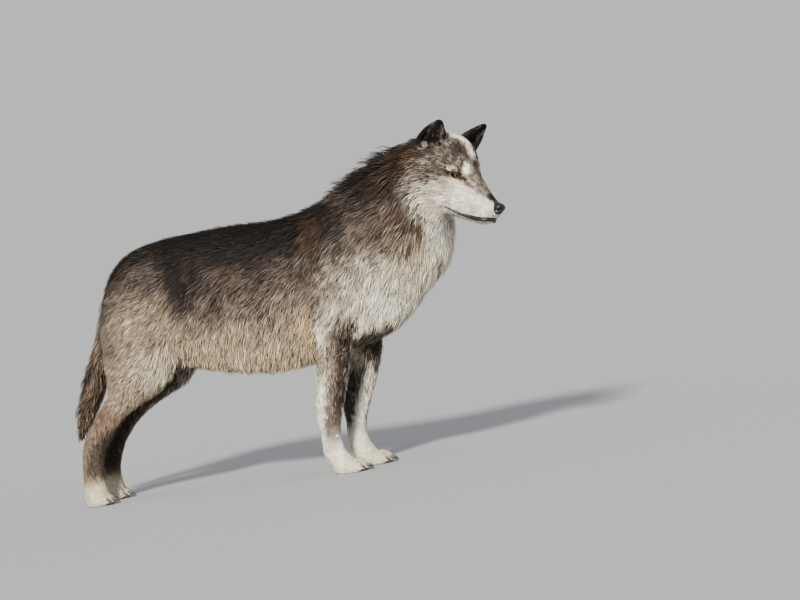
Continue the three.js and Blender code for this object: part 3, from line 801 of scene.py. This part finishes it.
def head_markings(p):
    """Pale cheeks and muzzle under a grizzled cap, white blaze and brows, dark furrow, bridge and tears."""
    signed = to_head(p)
    q = signed * [1, 0, 1] + np.abs(signed) * [0, 1, 0]
    x, z = q[:, 0], q[:, 2]
    patchy = noise(p, 18, 21) - 0.5
    fine = noise(p, 7, 22) - 0.5
    streaks = noise(p, 10, 25) - 0.5
    hair = Hair(p, GREY, WHITE)
    mark = hair.mark
    edge = along(((-120, -48), (-60, -40), (-30, -30), (0, -12), (24, -12), (60, -20), (100, -30)), x)
    speckle = ease(-0.02, 0.16, fine)
    on_muzzle = ease(16, 40, x)
    cap = ease(edge - 14, edge + 12, z + 22 * patchy + 8 * fine)
    mark(ease(0.04, -0.12, streaks) * ease(0, -50, x), DARK_BROWN, GREY_BROWN, 0.75)
    mark(ease(0.05, -0.15, patchy) * ease(90, 20, x), GREY_BROWN, SILVER * 0.7, 0.6)
    mark(cap * (1 - on_muzzle), BLACK_BROWN, GREY_BROWN * 0.66)
    mark(cap * (1 - on_muzzle) * speckle, GREY_BROWN, SILVER * 0.6, 0.65)
    mark(cap * on_muzzle, GREY_BROWN, TAUPE)
    mark(cap * on_muzzle * speckle, GREY, SILVER, 0.8)
    mark(ease(-86, -116, x + 30 * patchy) * ease(-80, -10, z), BLACK_BROWN, UMBER)
    blaze = np.minimum(spot(q, (-40, 0, 90), (46, 26, 24)) + spot(q, (2, 0, 64), (24, 15, 20)), 1)
    mark(blaze * ease(-0.5, -0.25, fine), SILVER, WHITE)
    mark(spot(q, (-12, 38, 60), (28, 15, 22)) * ease(-0.4, -0.1, fine), SOOT, DARK_BROWN, 0.85)
    mark(spot(q, (-10, 60, 24), (18, 10, 10)) * speckle, SOOT, UMBER, 0.8)
    mark(spot(q, (24, 27, 22), (14, 8, 19)), SILVER, WHITE)
    mark(spot(q, (28, 0, 34), (20, 13, 20)), SOOT, DARK_BROWN, 0.9)
    bridge = np.maximum(spot(q, (50, 0, 6), (34, 37, 28)), spot(q, (84, 0, -17), (36, 35, 25)))
    mark(bridge, GREY_BROWN, GREY_BROWN, 0.6)
    mark(bridge * ease(0.2, -0.04, fine), BLACK_BROWN, GREY_BROWN * 0.6, 0.6)
    mark(spot(q, (112, 0, -34), (32, 20, 17)), SOOT, DARK_BROWN)
    tear = np.maximum(spot(q, (28, 32, -5), (15, 8, 7)), spot(q, (52, 30, -15), (26, 7, 7)) * 0.8)
    mark(tear, SOOT, UMBER * 0.7)
    mark(spot(q, (-28, 68, 0), (22, 26, 20)), BLACK_BROWN, UMBER, 0.45)
    mark(spot(q, (-36, 92, -22), (22, 20, 14)) * speckle, BLACK_BROWN, UMBER, 0.8)
    for eye in EYES.values():
        u, v, w = eye.local(signed)
        near = 1.0 * (w > -14)
        flat = np.stack([u, v], axis=1)
        mark(near * spot(flat, (4, 15), (13, 5)), BUFF, CREAM)
        mark(near * spot(flat, (8, -15), (17, 7)), BUFF, CREAM)
        mark(near * spot(flat, (0, 0.5), (23, 10)), SOOT, BLACK_BROWN)
        mark(near * spot(flat, (2, -21), (16, 4)), DARK_BROWN, UMBER, 0.5)
    mark(spot(q, (-22, 64, -84), (24, 30, 12)), BUFF, CREAM * 0.7 + TAWNY * 0.25, 0.8)
    mark(spot(q, (-82, 84, 46), (34, 28, 32)), SOOT, DARK_BROWN * 0.8, 0.95)
    mark(spot(q, (-104, 96, 18), (26, 30, 28)), DARK_BROWN, RUST * 0.45 + UMBER * 0.3)
    return hair


def ear_markings(p, ear):
    """Nearly black outside, dark grey inside with paler hair low in the hollow."""
    axis = np.subtract(ear["tip"], ear["base"])
    off = to_head(p) - ear["base"]
    up = off @ axis / (axis @ axis)
    opens = unit(np.array(ear["opens"], float))
    forward = (off - up[:, None] * axis) @ opens
    across = np.abs(off @ unit(np.cross(axis, opens)))
    inside = ease(-4, 8, forward) * ease(0.95, 0.6, up) * ease(0.0, 0.15, up) * ease(22, 12, across)
    hair = Hair(p, SOOT, BLACK_BROWN)
    hair.mark(inside, None, GREY_BROWN, 0.9)
    hair.mark(inside * ease(0.35, 0.6, noise(p, 9, 23)), GREY, SILVER, 0.9)
    return hair


MARKED = (
    (trunk_markings, TRUNK),
    (foreleg_markings, FORELEGS),
    (hind_leg_markings, HIND_LEGS),
    (tail_markings, ("tail",)),
    (head_markings, ("head", "jaw")),
    (lambda p: ear_markings(p, EARS["ear_left"]), ("ear_left",)),
    (lambda p: ear_markings(p, EARS["ear_right"]), ("ear_right",)),
)


def markings(p, share):
    """Root colour and tip colour of the hair at points, each sub-part's own blended where they meet."""
    total = np.zeros((2, len(p), 3))
    weight = np.zeros((len(p), 1))
    for rule, parts in MARKED:
        part_share = sum(share[name] for name in parts)[:, None]
        hair = rule(p)
        total += np.stack([hair.root, hair.tip]) * part_share
        weight += part_share
    return total / weight


# ---- Coat ----
PATCH = 0.003  # side of a tuft's own patch on the baked picture
PIECE_TRIANGLES = 190000
LOCK_WARP = 26  # size and reach in mm of the noise that bends the edges of locks
SUNK = 0.0012  # how far a root reaches below the skin, and the least height of hair over the floor
FLATNESS = 0.4  # height of a tuft's section over its width
LEAST_WIDTH = 0.0004
EAR_HAIR = 12  # longest hair by the ears
LENGTHS = (0.72, 1.18)  # shortest and longest tuft over the chart's length
LOCK_LENGTHS = (0.8, 1.2)
LOCK_HEIGHTS = (0.75, 1.25)
LOCK_DRAWS = (0.4, 1.0)  # how firmly the loosest and the tightest lock are drawn together
LOCK_TURN = 0.5
DRIFT_SIZE = 45  # the lie of the coat wanders over this distance, by this angle
DRIFT = 0.7
MANE_RISE = 0.7  # how much higher the raised locks of the mane stand
SAG = 0.3  # how far the tip of loose hair drops, over its length
STRAY_LENGTH = 0.03  # shorter hair thrown far off its way is shrunk back
STRAY_SHRINK = 0.7
# A tuft takes its colour from a place off its root, up to "reach" of the hair's length and "most" mm away,
# shared by its lock but for what "wander" adds. "bright" and "lock" spread the brightness of single tufts
# and of locks, "dark" sets how many tips are dark, and "root" is the painted shade at the root, standing in
# for the shadow deep among the locks.
HUES = {"reach": 0.26, "most": 8, "wander": 0.4, "bright": 0.24, "lock": 0.6, "dark": 0.36, "root": 0.45}
RING_CORNERS = ((-1, -0.35), (1, -0.35), (0, 1))  # across and up from a tuft's centreline
# Kind: number of tufts; rings along a tuft as (place, width); width over length; how far tufts turn aside;
# how much a lock draws together; size of a lock over the hair's length; height of the tips over the depth.
COAT_KINDS = {
    "under": (68000, ((0.42, 1.0),), 0.048, 0.16, 0.15, 0.30, (0.55, 0.85)),
    "over": (44000, ((0.30, 1.0), (0.68, 0.72)), 0.037, 0.13, 0.4, 0.34, (0.75, 1.08)),
    "short": (90000, ((0.4, 1.0),), 0.058, 0.12, 0.12, 0.5, (0.6, 1.0)),
}
COAT_PIECES = {
    "coat_head": (FACE, "coat_face"),
    "coat_neck": (("neck",), "coat_grey"),
    "coat_chest": (("chest",), "coat_grey"),
    "coat_belly": (("belly",), "coat_dark"),
    "coat_rump": (("rump",), "coat_dark"),
    "coat_tail": (("tail",), "coat_dark"),
    "coat_forelegs": (FORELEGS, "coat_pale"),
    "coat_hind_legs": (HIND_LEGS, "coat_grey"),
}


class Tufts:
    """Locks of hair, each a thin closed spindle from a root in the skin to a point."""

    def __init__(self, skin, count, density):
        """Roots are spread evenly by area times density: each takes its triangle from the running total."""
        a, b, c = skin.points[skin.tri].transpose(1, 0, 2)
        area = np.linalg.norm(np.cross(b - a, c - a), axis=1) / 2
        weight = np.cumsum(area * density[skin.tri].mean(1))
        picks = (np.arange(count) + rng.random(count)) / count * weight[-1]
        self.triangle = np.minimum(np.searchsorted(weight, picks), len(area) - 1)
        uv = rng.random((2, count))
        uv = np.where(uv.sum(0) > 1, 1 - uv, uv)
        self.weights = np.stack([1 - uv.sum(0), *uv], axis=1)
        self.skin = skin
        self.count = count
        self.root = self.of(skin.points)

    def of(self, values):
        """A value on the skin's points, at each root."""
        return np.einsum("nk,nk...->n...", self.weights, values[self.skin.tri[self.triangle]])

    def lay(self, finder, aside, clump, lock, rise):
        """Centreline of each tuft: it leaves its root along the lie of the coat, turned a little; its middle
        and tip stand over the nearest skin, or hang free where the coat is loose; tips of one lock are drawn
        together."""
        skin, count = self.skin, self.count
        self.chart = to_chart(self.root)
        normal = unit(self.of(skin.soft))
        lie = unit(self.of(skin.lie))
        side = np.cross(normal, lie)
        length = self.of(skin.length) / 1000 * rng.uniform(*LENGTHS, count)
        hug = self.of(skin.hug)[:, None]
        warp = np.stack([noise(self.chart + 31 * k, LOCK_WARP, 40 + k) for k in range(3)], axis=1) - 0.5
        size = np.exp2(np.round(np.log2(np.maximum(length * 1000 * lock, 5))))
        cell = np.floor((self.chart + warp * LOCK_WARP) / size[:, None])
        cell = np.column_stack([cell, size]).astype(np.int64)
        member = np.unique(cell, axis=0, return_inverse=True)[1].ravel()
        locks = member.max() + 1
        self.lock_random = rng.random((locks, 4))[member]
        self.lock_shift = rng.normal(0, 1, (locks, 3))[member]
        turns, lifts, draws, lengths = self.lock_random.T
        self.length = length = length * blend(*LOCK_LENGTHS, lengths)
        drift = (noise(self.chart, DRIFT_SIZE, 7) - 0.5) * DRIFT + (turns - 0.5) * LOCK_TURN
        turn = rng.normal(0, aside, count) + drift
        ahead = (lie * np.cos(turn)[:, None] + side * np.sin(turn)[:, None]) * length[:, None]
        height = self.of(skin.depth) / 1000 * blend(*rise, rng.random(count)) * blend(*LOCK_HEIGHTS, lifts)
        mane = self.of(skin.share["neck"]) * ease(0.3, 0.7, normal[:, 2])
        height = (height * (1 + MANE_RISE * mane * ease(0.5, 1.0, lifts)))[:, None]
        tip_free = self.root + ahead + normal * height
        tip_free[:, 2] -= length * SAG * (1 - hug[:, 0])
        mid_free = self.root + ahead * 0.5 + normal * height * 0.75
        tip = blend(tip_free, self.over_skin(finder, self.root + ahead, height), hug)
        mid = blend(mid_free, self.over_skin(finder, self.root + ahead * 0.5, height * 0.8), hug)
        middle = (summed(member, tip, locks) / np.bincount(member)[:, None])[member]
        tip = blend(tip, middle, (clump * blend(*LOCK_DRAWS, draws))[:, None])
        swerve = np.linalg.norm(tip - self.root - ahead, axis=1) / length
        keep = (1 - STRAY_SHRINK * ease(0.5, 0.9, swerve) * (length < STRAY_LENGTH))[:, None]
        self.tip = blend(self.root, tip, keep)
        hang = ease(0.8, 0.4, hug[:, 0]) * ease(0.1, -0.6, normal[:, 2])
        normal[:, 2] *= 1 - 0.75 * hang
        self.normal = unit(normal)
        self.start = self.root - self.normal * SUNK
        self.bend = 2 * blend(self.root, mid, keep) - (self.start + self.tip) / 2

    def over_skin(self, finder, points, height):
        """The nearest skin to each point, raised along its normal by height."""
        found = [finder.find_nearest(p) for p in points.tolist()]
        place = np.array([hit[0] for hit in found])
        face = np.array([hit[2] for hit in found])
        return place + self.skin.soft[self.skin.tri[face, 0]] * height

    def spindles(self, width, rings):
        """Points of each spindle: its root, three points round the centreline at each ring, and its tip."""
        points, normals, across = [self.start], [self.normal], [0]
        for t, part in rings:
            middle = arc(self.start, self.bend, self.tip, t)
            way = unit(blend(self.bend - self.start, self.tip - self.bend, t))
            side = unit(np.cross(way, self.normal))
            up = np.cross(side, way)
            half = (width * part / 2)[:, None]
            for sideways, upward in RING_CORNERS:
                points.append(middle + half * (side * sideways + up * FLATNESS * upward))
                normals.append(unit(self.normal * 0.9 + side * sideways * 0.55 + up * upward * 0.3))
                across.append(sideways / 2)
        self.points = np.stack([*points, self.tip], axis=1)
        self.points[..., 2] = np.maximum(self.points[..., 2], SUNK)
        self.normals = np.stack([*normals, self.normal], axis=1)
        self.along = np.array([0, *np.repeat([t for t, _ in rings], 3), 1])
        self.patch = np.column_stack([[*across, 0], self.along - 0.5]) * PATCH

    def faces(self):
        """Triangles of one spindle: a fan at the root, a band between rings, a fan at the tip."""
        last = len(self.along) - 4
        tri = []
        for k, j in ((0, 1), (1, 2), (2, 0)):
            tri += [(1 + k, 1 + j, 0), (last + 3, last + j, last + k)]
            for low in range(1, last, 3):
                tri += [(low + 3 + j, low + j, low + k), (low + 3 + k, low + 3 + j, low + k)]
        return np.array(tri)

    def colours(self):
        """Hair colour along each tuft: painted shade at the root for the shadow among locks, the base colour,
        then the tip colour.
        """
        share = {name: self.of(values) for name, values in self.skin.share.items()}
        reach = np.minimum(HUES["most"], HUES["reach"] * self.of(self.skin.length))[:, None]
        shift = self.lock_shift + rng.normal(0, HUES["wander"], (self.count, 3))
        base, tip = markings(self.chart + shift * reach, share)
        lock = (self.lock_random[:, 3] - 0.5) * HUES["lock"]
        bright = np.exp(rng.normal(0, HUES["bright"], self.count) + lock)
        dark = (rng.random(self.count) + self.lock_random[:, 0]) / 2 < HUES["dark"] * (1 - tip.mean(1))
        tip = np.where(dark[:, None], base * 0.6 + tip * 0.25, tip)
        t = self.along[:, None]
        colour = blend(base[:, None], tip[:, None], ease(0.25, 0.75, t)) * bright[:, None, None]
        # painted shade: each tuft darkened toward its root, standing in for the shadow among the locks
        return colour * blend(HUES["root"], 1, ease(0.0, 0.35, t))

    def build(self, name, chosen, sheet, colours, material):
        """One piece of coat from the chosen tufts, with its colours, soft normals and flat map."""
        starts = np.arange(len(chosen)) * len(self.along)
        faces = (self.faces() + starts[:, None, None]).reshape(-1, 3)
        points, normals, colours = (
            values[chosen].reshape(-1, 3) for values in (self.points, self.normals, colours)
        )
        piece = new_piece(name, points, faces, material, colours)
        place = (sheet[self.triangle[chosen]] * self.weights[chosen][..., None]).sum(1)
        set_map(piece, (place[:, None] + self.patch).reshape(-1, 2)[faces.ravel()].ravel())
        piece.data.normals_split_custom_set_from_vertices(normals.tolist())


def grown_material(name, roughness, grain, depth, sockets=()):
    """Colour from the piece's own points, made lighter and darker by a grain of the given width in metres;
    the same grain breaks up the gloss and stands out of the surface by the given depth in metres."""
    material, tree = new_material(name)
    colour = add_node(tree, "ShaderNodeAttribute", attribute_name=COLOUR)
    place = add_node(tree, "ShaderNodeTexCoord")
    cells = add_node(tree, "ShaderNodeTexNoise", {
        "Vector": place.outputs["Object"], "Scale": 1 / grain, "Detail": 3.0, "Roughness": 0.6,
    }).outputs["Fac"]
    gloss, tint = (
        add_node(tree, "ShaderNodeMapRange", {
            "Value": cells, "From Min": 0.3, "From Max": 0.7,
            "To Min": middle - spread, "To Max": middle + spread,
        }).outputs["Result"]
        for middle, spread in ((roughness, 0.1), (1.0, 0.2))
    )
    inputs = {0: colour.outputs[0], "Scale": tint}
    tinted = add_node(tree, "ShaderNodeVectorMath", inputs, operation="SCALE")
    bump = add_node(tree, "ShaderNodeBump", {"Strength": 0.6, "Distance": depth, "Height": cells})
    shader = add_node(tree, "ShaderNodeBsdfPrincipled", {
        "Base Color": tinted.outputs["Vector"], "Roughness": gloss, "Normal": bump.outputs["Normal"],
        **dict(sockets),
    })
    add_node(tree, "ShaderNodeOutputMaterial", {"Surface": shader.outputs[0]})
    return material


def bare_places(skin):
    """1 where hair grows, 0 in the opening of the eyes, along the lips, under the nose and on the soles."""
    q = to_head(skin.chart)
    grows = ease(1.5, 4.0, skin.chart[:, 2])
    for eye in EYES.values():
        u, v, w = eye.local(q)
        here = (np.hypot(u, v) < 30) & (w > -15)
        grows = grows * np.where(here, ease(1.25, 1.6, eye.opening(u, v)), 1)
    in_mouth = (q[:, 0] > -10) & (q[:, 0] < 145) & (np.abs(q[:, 1]) < 60)
    from_mouth = np.abs(q[:, 2] - along(MOUTH, q[:, 0]))
    grows = grows * np.where(in_mouth, ease(2.4, 4.4, from_mouth), 1)
    return grows * ease(1.0, 1.15, np.linalg.norm((q - NOSE_CENTRE) / NOSE_RADII, axis=1))


def make_coat(skin, sheet, finder):
    """Wool and guard hair on the trunk, neck and tail; short hair on the face, ears, legs and paws."""
    # Dry guard hair: a wide soft gloss that never turns to a mirror, dusty and broken every millimetre.
    material = grown_material("guard_hair_over_wool", 0.6, 0.0012, 0.0001, {"Specular IOR Level": 0.18})
    grows = bare_places(skin)
    by_ear = ease(0.03, 0.2, skin.share["ear_left"] + skin.share["ear_right"])
    skin.length = blend(skin.length, np.minimum(skin.length, EAR_HAIR), by_ear)
    long_share = ease(20, 30, skin.length)
    on_head = skin.share["head"] + skin.share["jaw"]
    short_share = (1 - long_share) * (12 / skin.length) ** 1.3 * (1 + 1.8 * on_head)
    for kind, (count, rings, width, *manner) in COAT_KINDS.items():
        tufts = Tufts(skin, count, (short_share if kind == "short" else long_share) * grows)
        tufts.lay(finder, *manner)
        tufts.spindles((width * tufts.length + LEAST_WIDTH) * rng.uniform(0.7, 1.3, count), rings)
        colours = tufts.colours()
        part = skin.part[skin.tri[tufts.triangle, 0]]
        limit = PIECE_TRIANGLES // len(tufts.faces())
        for name, (nodes, slot) in COAT_PIECES.items():
            chosen = np.flatnonzero(np.isin(part, [FLESH.index(node) for node in nodes]))
            for number, start in enumerate(range(0, len(chosen), limit), 1):
                some = chosen[start:start + limit]
                tufts.build(f"{name}_{kind}_{number}", some, sheet, colours, material)


def make_hide(skin, sheet):
    """The skin itself, darker than the hair over it, with the same markings."""
    # Felted underfur on hide: dull, with a nap about a millimetre and a half across.
    dull = {"Specular IOR Level": 0.15}
    material = grown_material("hide_with_felted_underfur", 0.78, 0.0015, 0.0006, dull)
    base, tip = markings(skin.chart, skin.share)
    colours = blend(base * 0.7, base * 0.3 + tip * 0.65, ease(22, 11, skin.length)[:, None])
    piece = new_piece("hide", skin.points, skin.tri, material, colours)
    set_map(piece, sheet.ravel())
    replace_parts(piece, *FLESH)


# ---- Eyes, nose, lips, claws and whiskers ----
PUPIL = 3.4
IRIS = 7.2


def make_eyes():
    """Eyeballs: rings round the gaze; radius 12 mm, swelling a little over the iris as the cornea does."""
    # A clear wet cornea: one small sharp gleam over a duller iris with fibres a fifth of a millimetre wide.
    material = grown_material("wet_cornea_over_amber_iris", 0.3, 0.0005, 0.00001, {
        "Specular IOR Level": 0.05, "Coat Weight": 0.4, "Coat Roughness": 0.03,
    })
    for name, eye in EYES.items():
        one = unit(np.cross(eye.gaze, [0, 0, 1]))
        two = np.cross(eye.gaze, one)
        polar = np.linspace(0.0, np.pi, 61)[1:-1, None]
        around = circle(64)[:, None]
        radius = EYE_RADIUS * (1 + 0.05 * np.exp(-((polar / 0.55) ** 2)) - 0.015)[..., None]
        outward = np.cos(around) * one + np.sin(around) * two
        ball = np.cos(polar)[..., None] * eye.gaze + np.sin(polar)[..., None] * outward
        points, tri = joined([capped_tube(eye.centre + radius * ball)])
        off = points - eye.centre
        out = off @ eye.gaze
        flat = np.where(out > 0, np.linalg.norm(off - out[:, None] * eye.gaze, axis=1), 99)
        fibre = 0.5 + 0.5 * np.sin(np.arctan2(off @ two, off @ one) * 23 + 2 * np.sin(flat))
        light = 0.4 * fibre + 0.5 * ease(IRIS * 0.9, PUPIL, flat)
        colour = blend(linear("#52240a"), linear("#8f4d18"), light[:, None])
        colour = blend(colour, linear("#2a1408"), ease(IRIS - 2.2, IRIS - 0.4, flat)[:, None])
        # painted shade: the top of the iris darkened, standing in for the shadow of the upper lid
        colour = blend(colour, colour * 0.4, ease(0.5, 6.5, off[:, 2])[:, None])
        colour = blend(colour, linear("#1b120c"), ease(IRIS - 0.2, IRIS + 0.6, flat)[:, None])
        colour = blend(colour, linear("#030202"), ease(PUPIL + 0.35, PUPIL, flat)[:, None])
        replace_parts(new_piece(f"{name}_ball", in_body(points), tri, material, colour), name)


# Rows round an eye's opening, from on the ball out over the lid: scale of the opening, and height added.
RIM_ROWS = ((0.97, -2.2), (0.97, 0.0), (1.0, 0.45), (1.1, 0.7), (1.22, 0.55), (1.36, -0.1), (1.42, -1.8))


def make_lid_rims():
    """Bare dark margins: rows scaled from the opening's edge, |u|^1.6 + |v|^1.6 = 1, joined in a ring."""
    # Bare oily lid: a dark wet line round the eye with fine creases.
    material = grown_material("bare_dark_eyelid", 0.38, 0.0006, 0.0001)
    solids = []
    angle = circle(72)
    c, s = np.cos(angle), np.sin(angle)
    u0 = SLIT_HALF * np.sign(c) * np.abs(c) ** (2 / SLIT_POWER)
    v0 = np.where(s > 0, UPPER_LID, LOWER_LID) * np.sign(s) * np.abs(s) ** (2 / SLIT_POWER)
    corner = ease(-0.55, -1.0, c) * 2.6
    for eye in EYES.values():
        rows = []
        for scale, add in RIM_ROWS:
            u = u0 * (1 + (scale - 1) * 0.6) - corner
            v = v0 * scale - corner * 0.5
            ball = dome(EYE_RADIUS + 0.35, u, v, 32.5)
            lid = np.maximum(eye.lid_height(u, v), ball)
            rows.append(eye.place(u, v, blend(ball, lid, ease(0.97, 1.2, scale)) + add))
        points = np.vstack(rows)
        quads = grid_faces(len(rows) + 1, len(angle), True) % len(points)
        solids.append((points, triangles(quads)))
    points, tri = joined(solids)
    new_piece("eyelid_rims", in_body(points), tri, material, linear("#16100d"))


NOSE_CENTRE = np.array([129.5, 0.0, -51.0])
NOSE_RADII = np.array([17.0, 16.5, 16.0])
# Dents and wings on each side of the nose pad: way from its middle, radii of the bell, and depth.
NOSTRIL_HOLE = ((0.86, 0.48, -0.02), (0.32, 0.22, 0.24), 0.42)
NOSTRIL_TAIL = ((0.55, 0.82, -0.30), (0.34, 0.34, 0.12), 0.26)
NOSE_WING = ((0.66, 0.62, 0.30), (0.3675, 0.3675, 0.3675), -0.08)


def make_nose():
    """Nose pad: a rounded box, |x|^3 + |y|^2.6 + |z|^3 = 1, its front leaning back below, with a nostril
    like a comma each side, a wing over each nostril and a groove between."""
    # Moist leather in pebbles a millimetre across, which break its gleam into points.
    material = grown_material("moist_pebbled_nose_leather", 0.36, 0.0011, 0.0006)
    p, a = np.meshgrid(np.linspace(0, np.pi, 72)[1:-1], circle(96), indexing="ij")
    d = np.stack([np.cos(p), np.sin(p) * np.cos(a), np.sin(p) * np.sin(a)], axis=-1)
    size = 1 / (np.abs(d) ** [3, 2.6, 3]).sum(-1) ** 0.35

    def dent(way, radii, depth):
        """Bell of the given depth on each side: depth times e to minus 1.5 times the squared distance."""
        way = unit(np.array(way))
        off = ((np.abs(d[..., 1:2]) * [0, 1, 0] + d * [1, 0, 1] - way) / radii) ** 2
        return depth * np.exp(-1.5 * off.sum(-1))

    dents = dent(*NOSTRIL_HOLE) + dent(*NOSTRIL_TAIL)
    groove = 0.07 * np.exp(-((d[..., 1] / 0.06) ** 2))
    groove = groove * ease(0.1, 0.5, d[..., 0]) * ease(0.5, 0.1, d[..., 2])
    shape = d * (size - dents - groove - dent(*NOSE_WING))[..., None]
    shape[..., 0] -= 0.30 * np.maximum(-shape[..., 2], 0) * ease(-0.2, 0.5, d[..., 0])
    shape[..., 0] -= 0.9 * ease(0.1, 0.9, shape[..., 2]) * ease(0.3, -0.6, d[..., 0])
    shape[..., 2] += 0.25 * ease(0.2, -1.5, shape[..., 0]) * ease(0, 0.8, shape[..., 2])
    shape[..., 1] *= 1 - 0.22 * np.maximum(-shape[..., 2], 0)
    points, tri = joined([capped_tube(NOSE_CENTRE + NOSE_RADII * shape)])
    # painted shade: the nostrils painted blacker than the pad, standing in for the shade inside the openings
    depth = ease(0.1, 0.28, np.append(dents.ravel(), [0, 0]))[:, None]
    colour = blend(linear("#0f0c0b"), linear("#020202"), depth)
    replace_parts(new_piece("nose_pad", in_body(points), tri, material, colour), "nose")


# The line of the mouth as (x, z) in the head's frame, from its corner to the front.
MOUTH = ((-14, -78), (2, -82), (10, -84.5), (40, -89.5), (86, -89.5), (112, -85), (126, -79))
MOUTH_BACK = -8
MOUTH_FRONT = 108
LIP_THICK = 1.9
LIPS = ((2.0, 2.4, 1.1), (-2.4, 2.5, 0.8))  # rise from the mouth's line, half height, and stand out


def on_skin(finder, start, way):
    """Where lines from start along way, both in the head's frame, meet the skin; in the head's frame."""
    rays = zip(in_body(start), way @ HEAD_TURN.T)
    hits = [finder.ray_cast(Vector(origin), Vector(direction))[0] for origin, direction in rays]
    return to_head(to_chart(np.array(hits)))


def make_lips(finder):
    """Dark lips: two ridges carried along the mouth from one corner round the front to the other."""
    back = np.linspace(MOUTH_BACK, MOUTH_FRONT, 44)
    turn = np.linspace(-np.pi / 2, np.pi / 2, 25)
    turn = np.concatenate([np.full(len(back), turn[0]), turn[1:-1], np.full(len(back), turn[-1])])
    x = np.concatenate([back, np.full(23, MOUTH_FRONT), back[::-1]])
    way = np.stack([np.cos(turn), np.sin(turn), 0 * turn], axis=1)
    start = np.stack([x, 0 * x, along(MOUTH, x + 18 * way[:, 0])], axis=1)
    surface = on_skin(finder, start + way * 90, -way)
    for _ in range(3):
        surface[1:-1] = (surface[:-2] + 2 * surface[1:-1] + surface[2:]) / 4
    share = np.abs(np.linspace(-1, 1, len(x)))
    taper = np.clip((1 - share) * 16, 0.15, 1)
    front = 0.75 * ease(1.0, 0.35, share)
    up = np.tile([0.0, 0, 1], (len(x), 1))
    solids = []
    for rise, half, out in LIPS:
        path = surface + way * out + up * (rise * (0.7 + front))[:, None]
        solids.append(swept(path, up, LIP_THICK * taper, half * (1 + front) * taper))
    points, tri = joined(solids)
    # Moist dark lip, creased across every millimetre.
    material = grown_material("dark_moist_lip", 0.42, 0.0009, 0.0003)
    new_piece("lips", in_body(points), tri, material, linear("#1a1412"))


# A claw's curve, measured from under the front of its toe.
CLAW_ROOT = (-11, 0, 15.5)
CLAW_BEND = (4, 0, 16)
CLAW_TIP = (10.5, 0, 3)


def make_claws():
    """Each claw is an ellipse carried along a quadratic arc; its half height is 3.3 (1 - t^1.6) + 0.55."""
    solids = []
    t = np.linspace(0, 1, 9)
    half = 3.3 * (1 - t**1.6) + 0.55
    for toes in (FORE_TOES, HIND_TOES):
        for side, lead in toes["leads"].items():
            for place in (-1.5, -0.5, 0.5, 1.5):
                x = toes["x"] + lead + toes["reach"] * (1.5 - abs(place)) + toes["front"]
                y = side * LEG_SPREAD + toes["spread"] * place
                path = [x, y, 0] + arc(*np.array([CLAW_ROOT, CLAW_BEND, CLAW_TIP]), t[:, None])
                solids.append(swept(path, np.tile([0.3, 0.0, 1.0], (len(t), 1)), half * 0.72, half))
    points, tri = joined(solids)
    # Worn horn: dark, half glossy, scratched and chalky toward the tip.
    material = grown_material("dark_horn_claw", 0.4, 0.0007, 0.0002)
    colours = blend(linear("#1d1713"), linear("#54463a"), noise(points, 5, 51)[:, None])
    new_piece("claws", from_chart(points), tri, material, colours)


WHISKER_PLACE = (112, 90, -56)  # beside the head, level with the first root on each side
WHISKER_LENGTH = 34


def make_whiskers(finder):
    """Whiskers: thin tapering quadratic arcs, backward and outward from rows of roots beside the lip."""
    solids = []
    t = np.linspace(0, 1, 7)
    half = 0.2 * (1 - t) + 0.04
    for side, row, column in itertools.product((-1, 1), range(3), range(4)):
        start = np.array(WHISKER_PLACE) * [1, side, 1] - [9 * column + 3 * row, 0, 9 * row]
        root = on_skin(finder, start[None], np.array([[0, -side, 0]]))[0]
        long = WHISKER_LENGTH + 6 * column
        way = long * np.array([-0.55, 0.75 * side, -0.15 - 0.12 * row])
        path = arc(root, root + way * 0.5, root + way - [0.25 * long, 0, 0.25 * long], t[:, None])
        solids.append(swept(path, np.tile([0.0, 0, 1], (len(t), 1)), half, half, 4))
    points, tri = joined(solids)
    # Stiff horn whisker: pale with a slight gloss.
    material = grown_material("whisker_horn", 0.45, 0.0008, 0.00001)
    new_piece("whiskers", in_body(points), tri, material, linear("#7a7066"))


skin = Skin()
sheet = skin.unwrap()
finder = BVHTree.FromPolygons(skin.points.tolist(), skin.tri.tolist())
make_hide(skin, sheet)
make_eyes()
make_lid_rims()
make_nose()
make_lips(finder)
make_claws()
make_whiskers(finder)
make_coat(skin, sheet, finder)
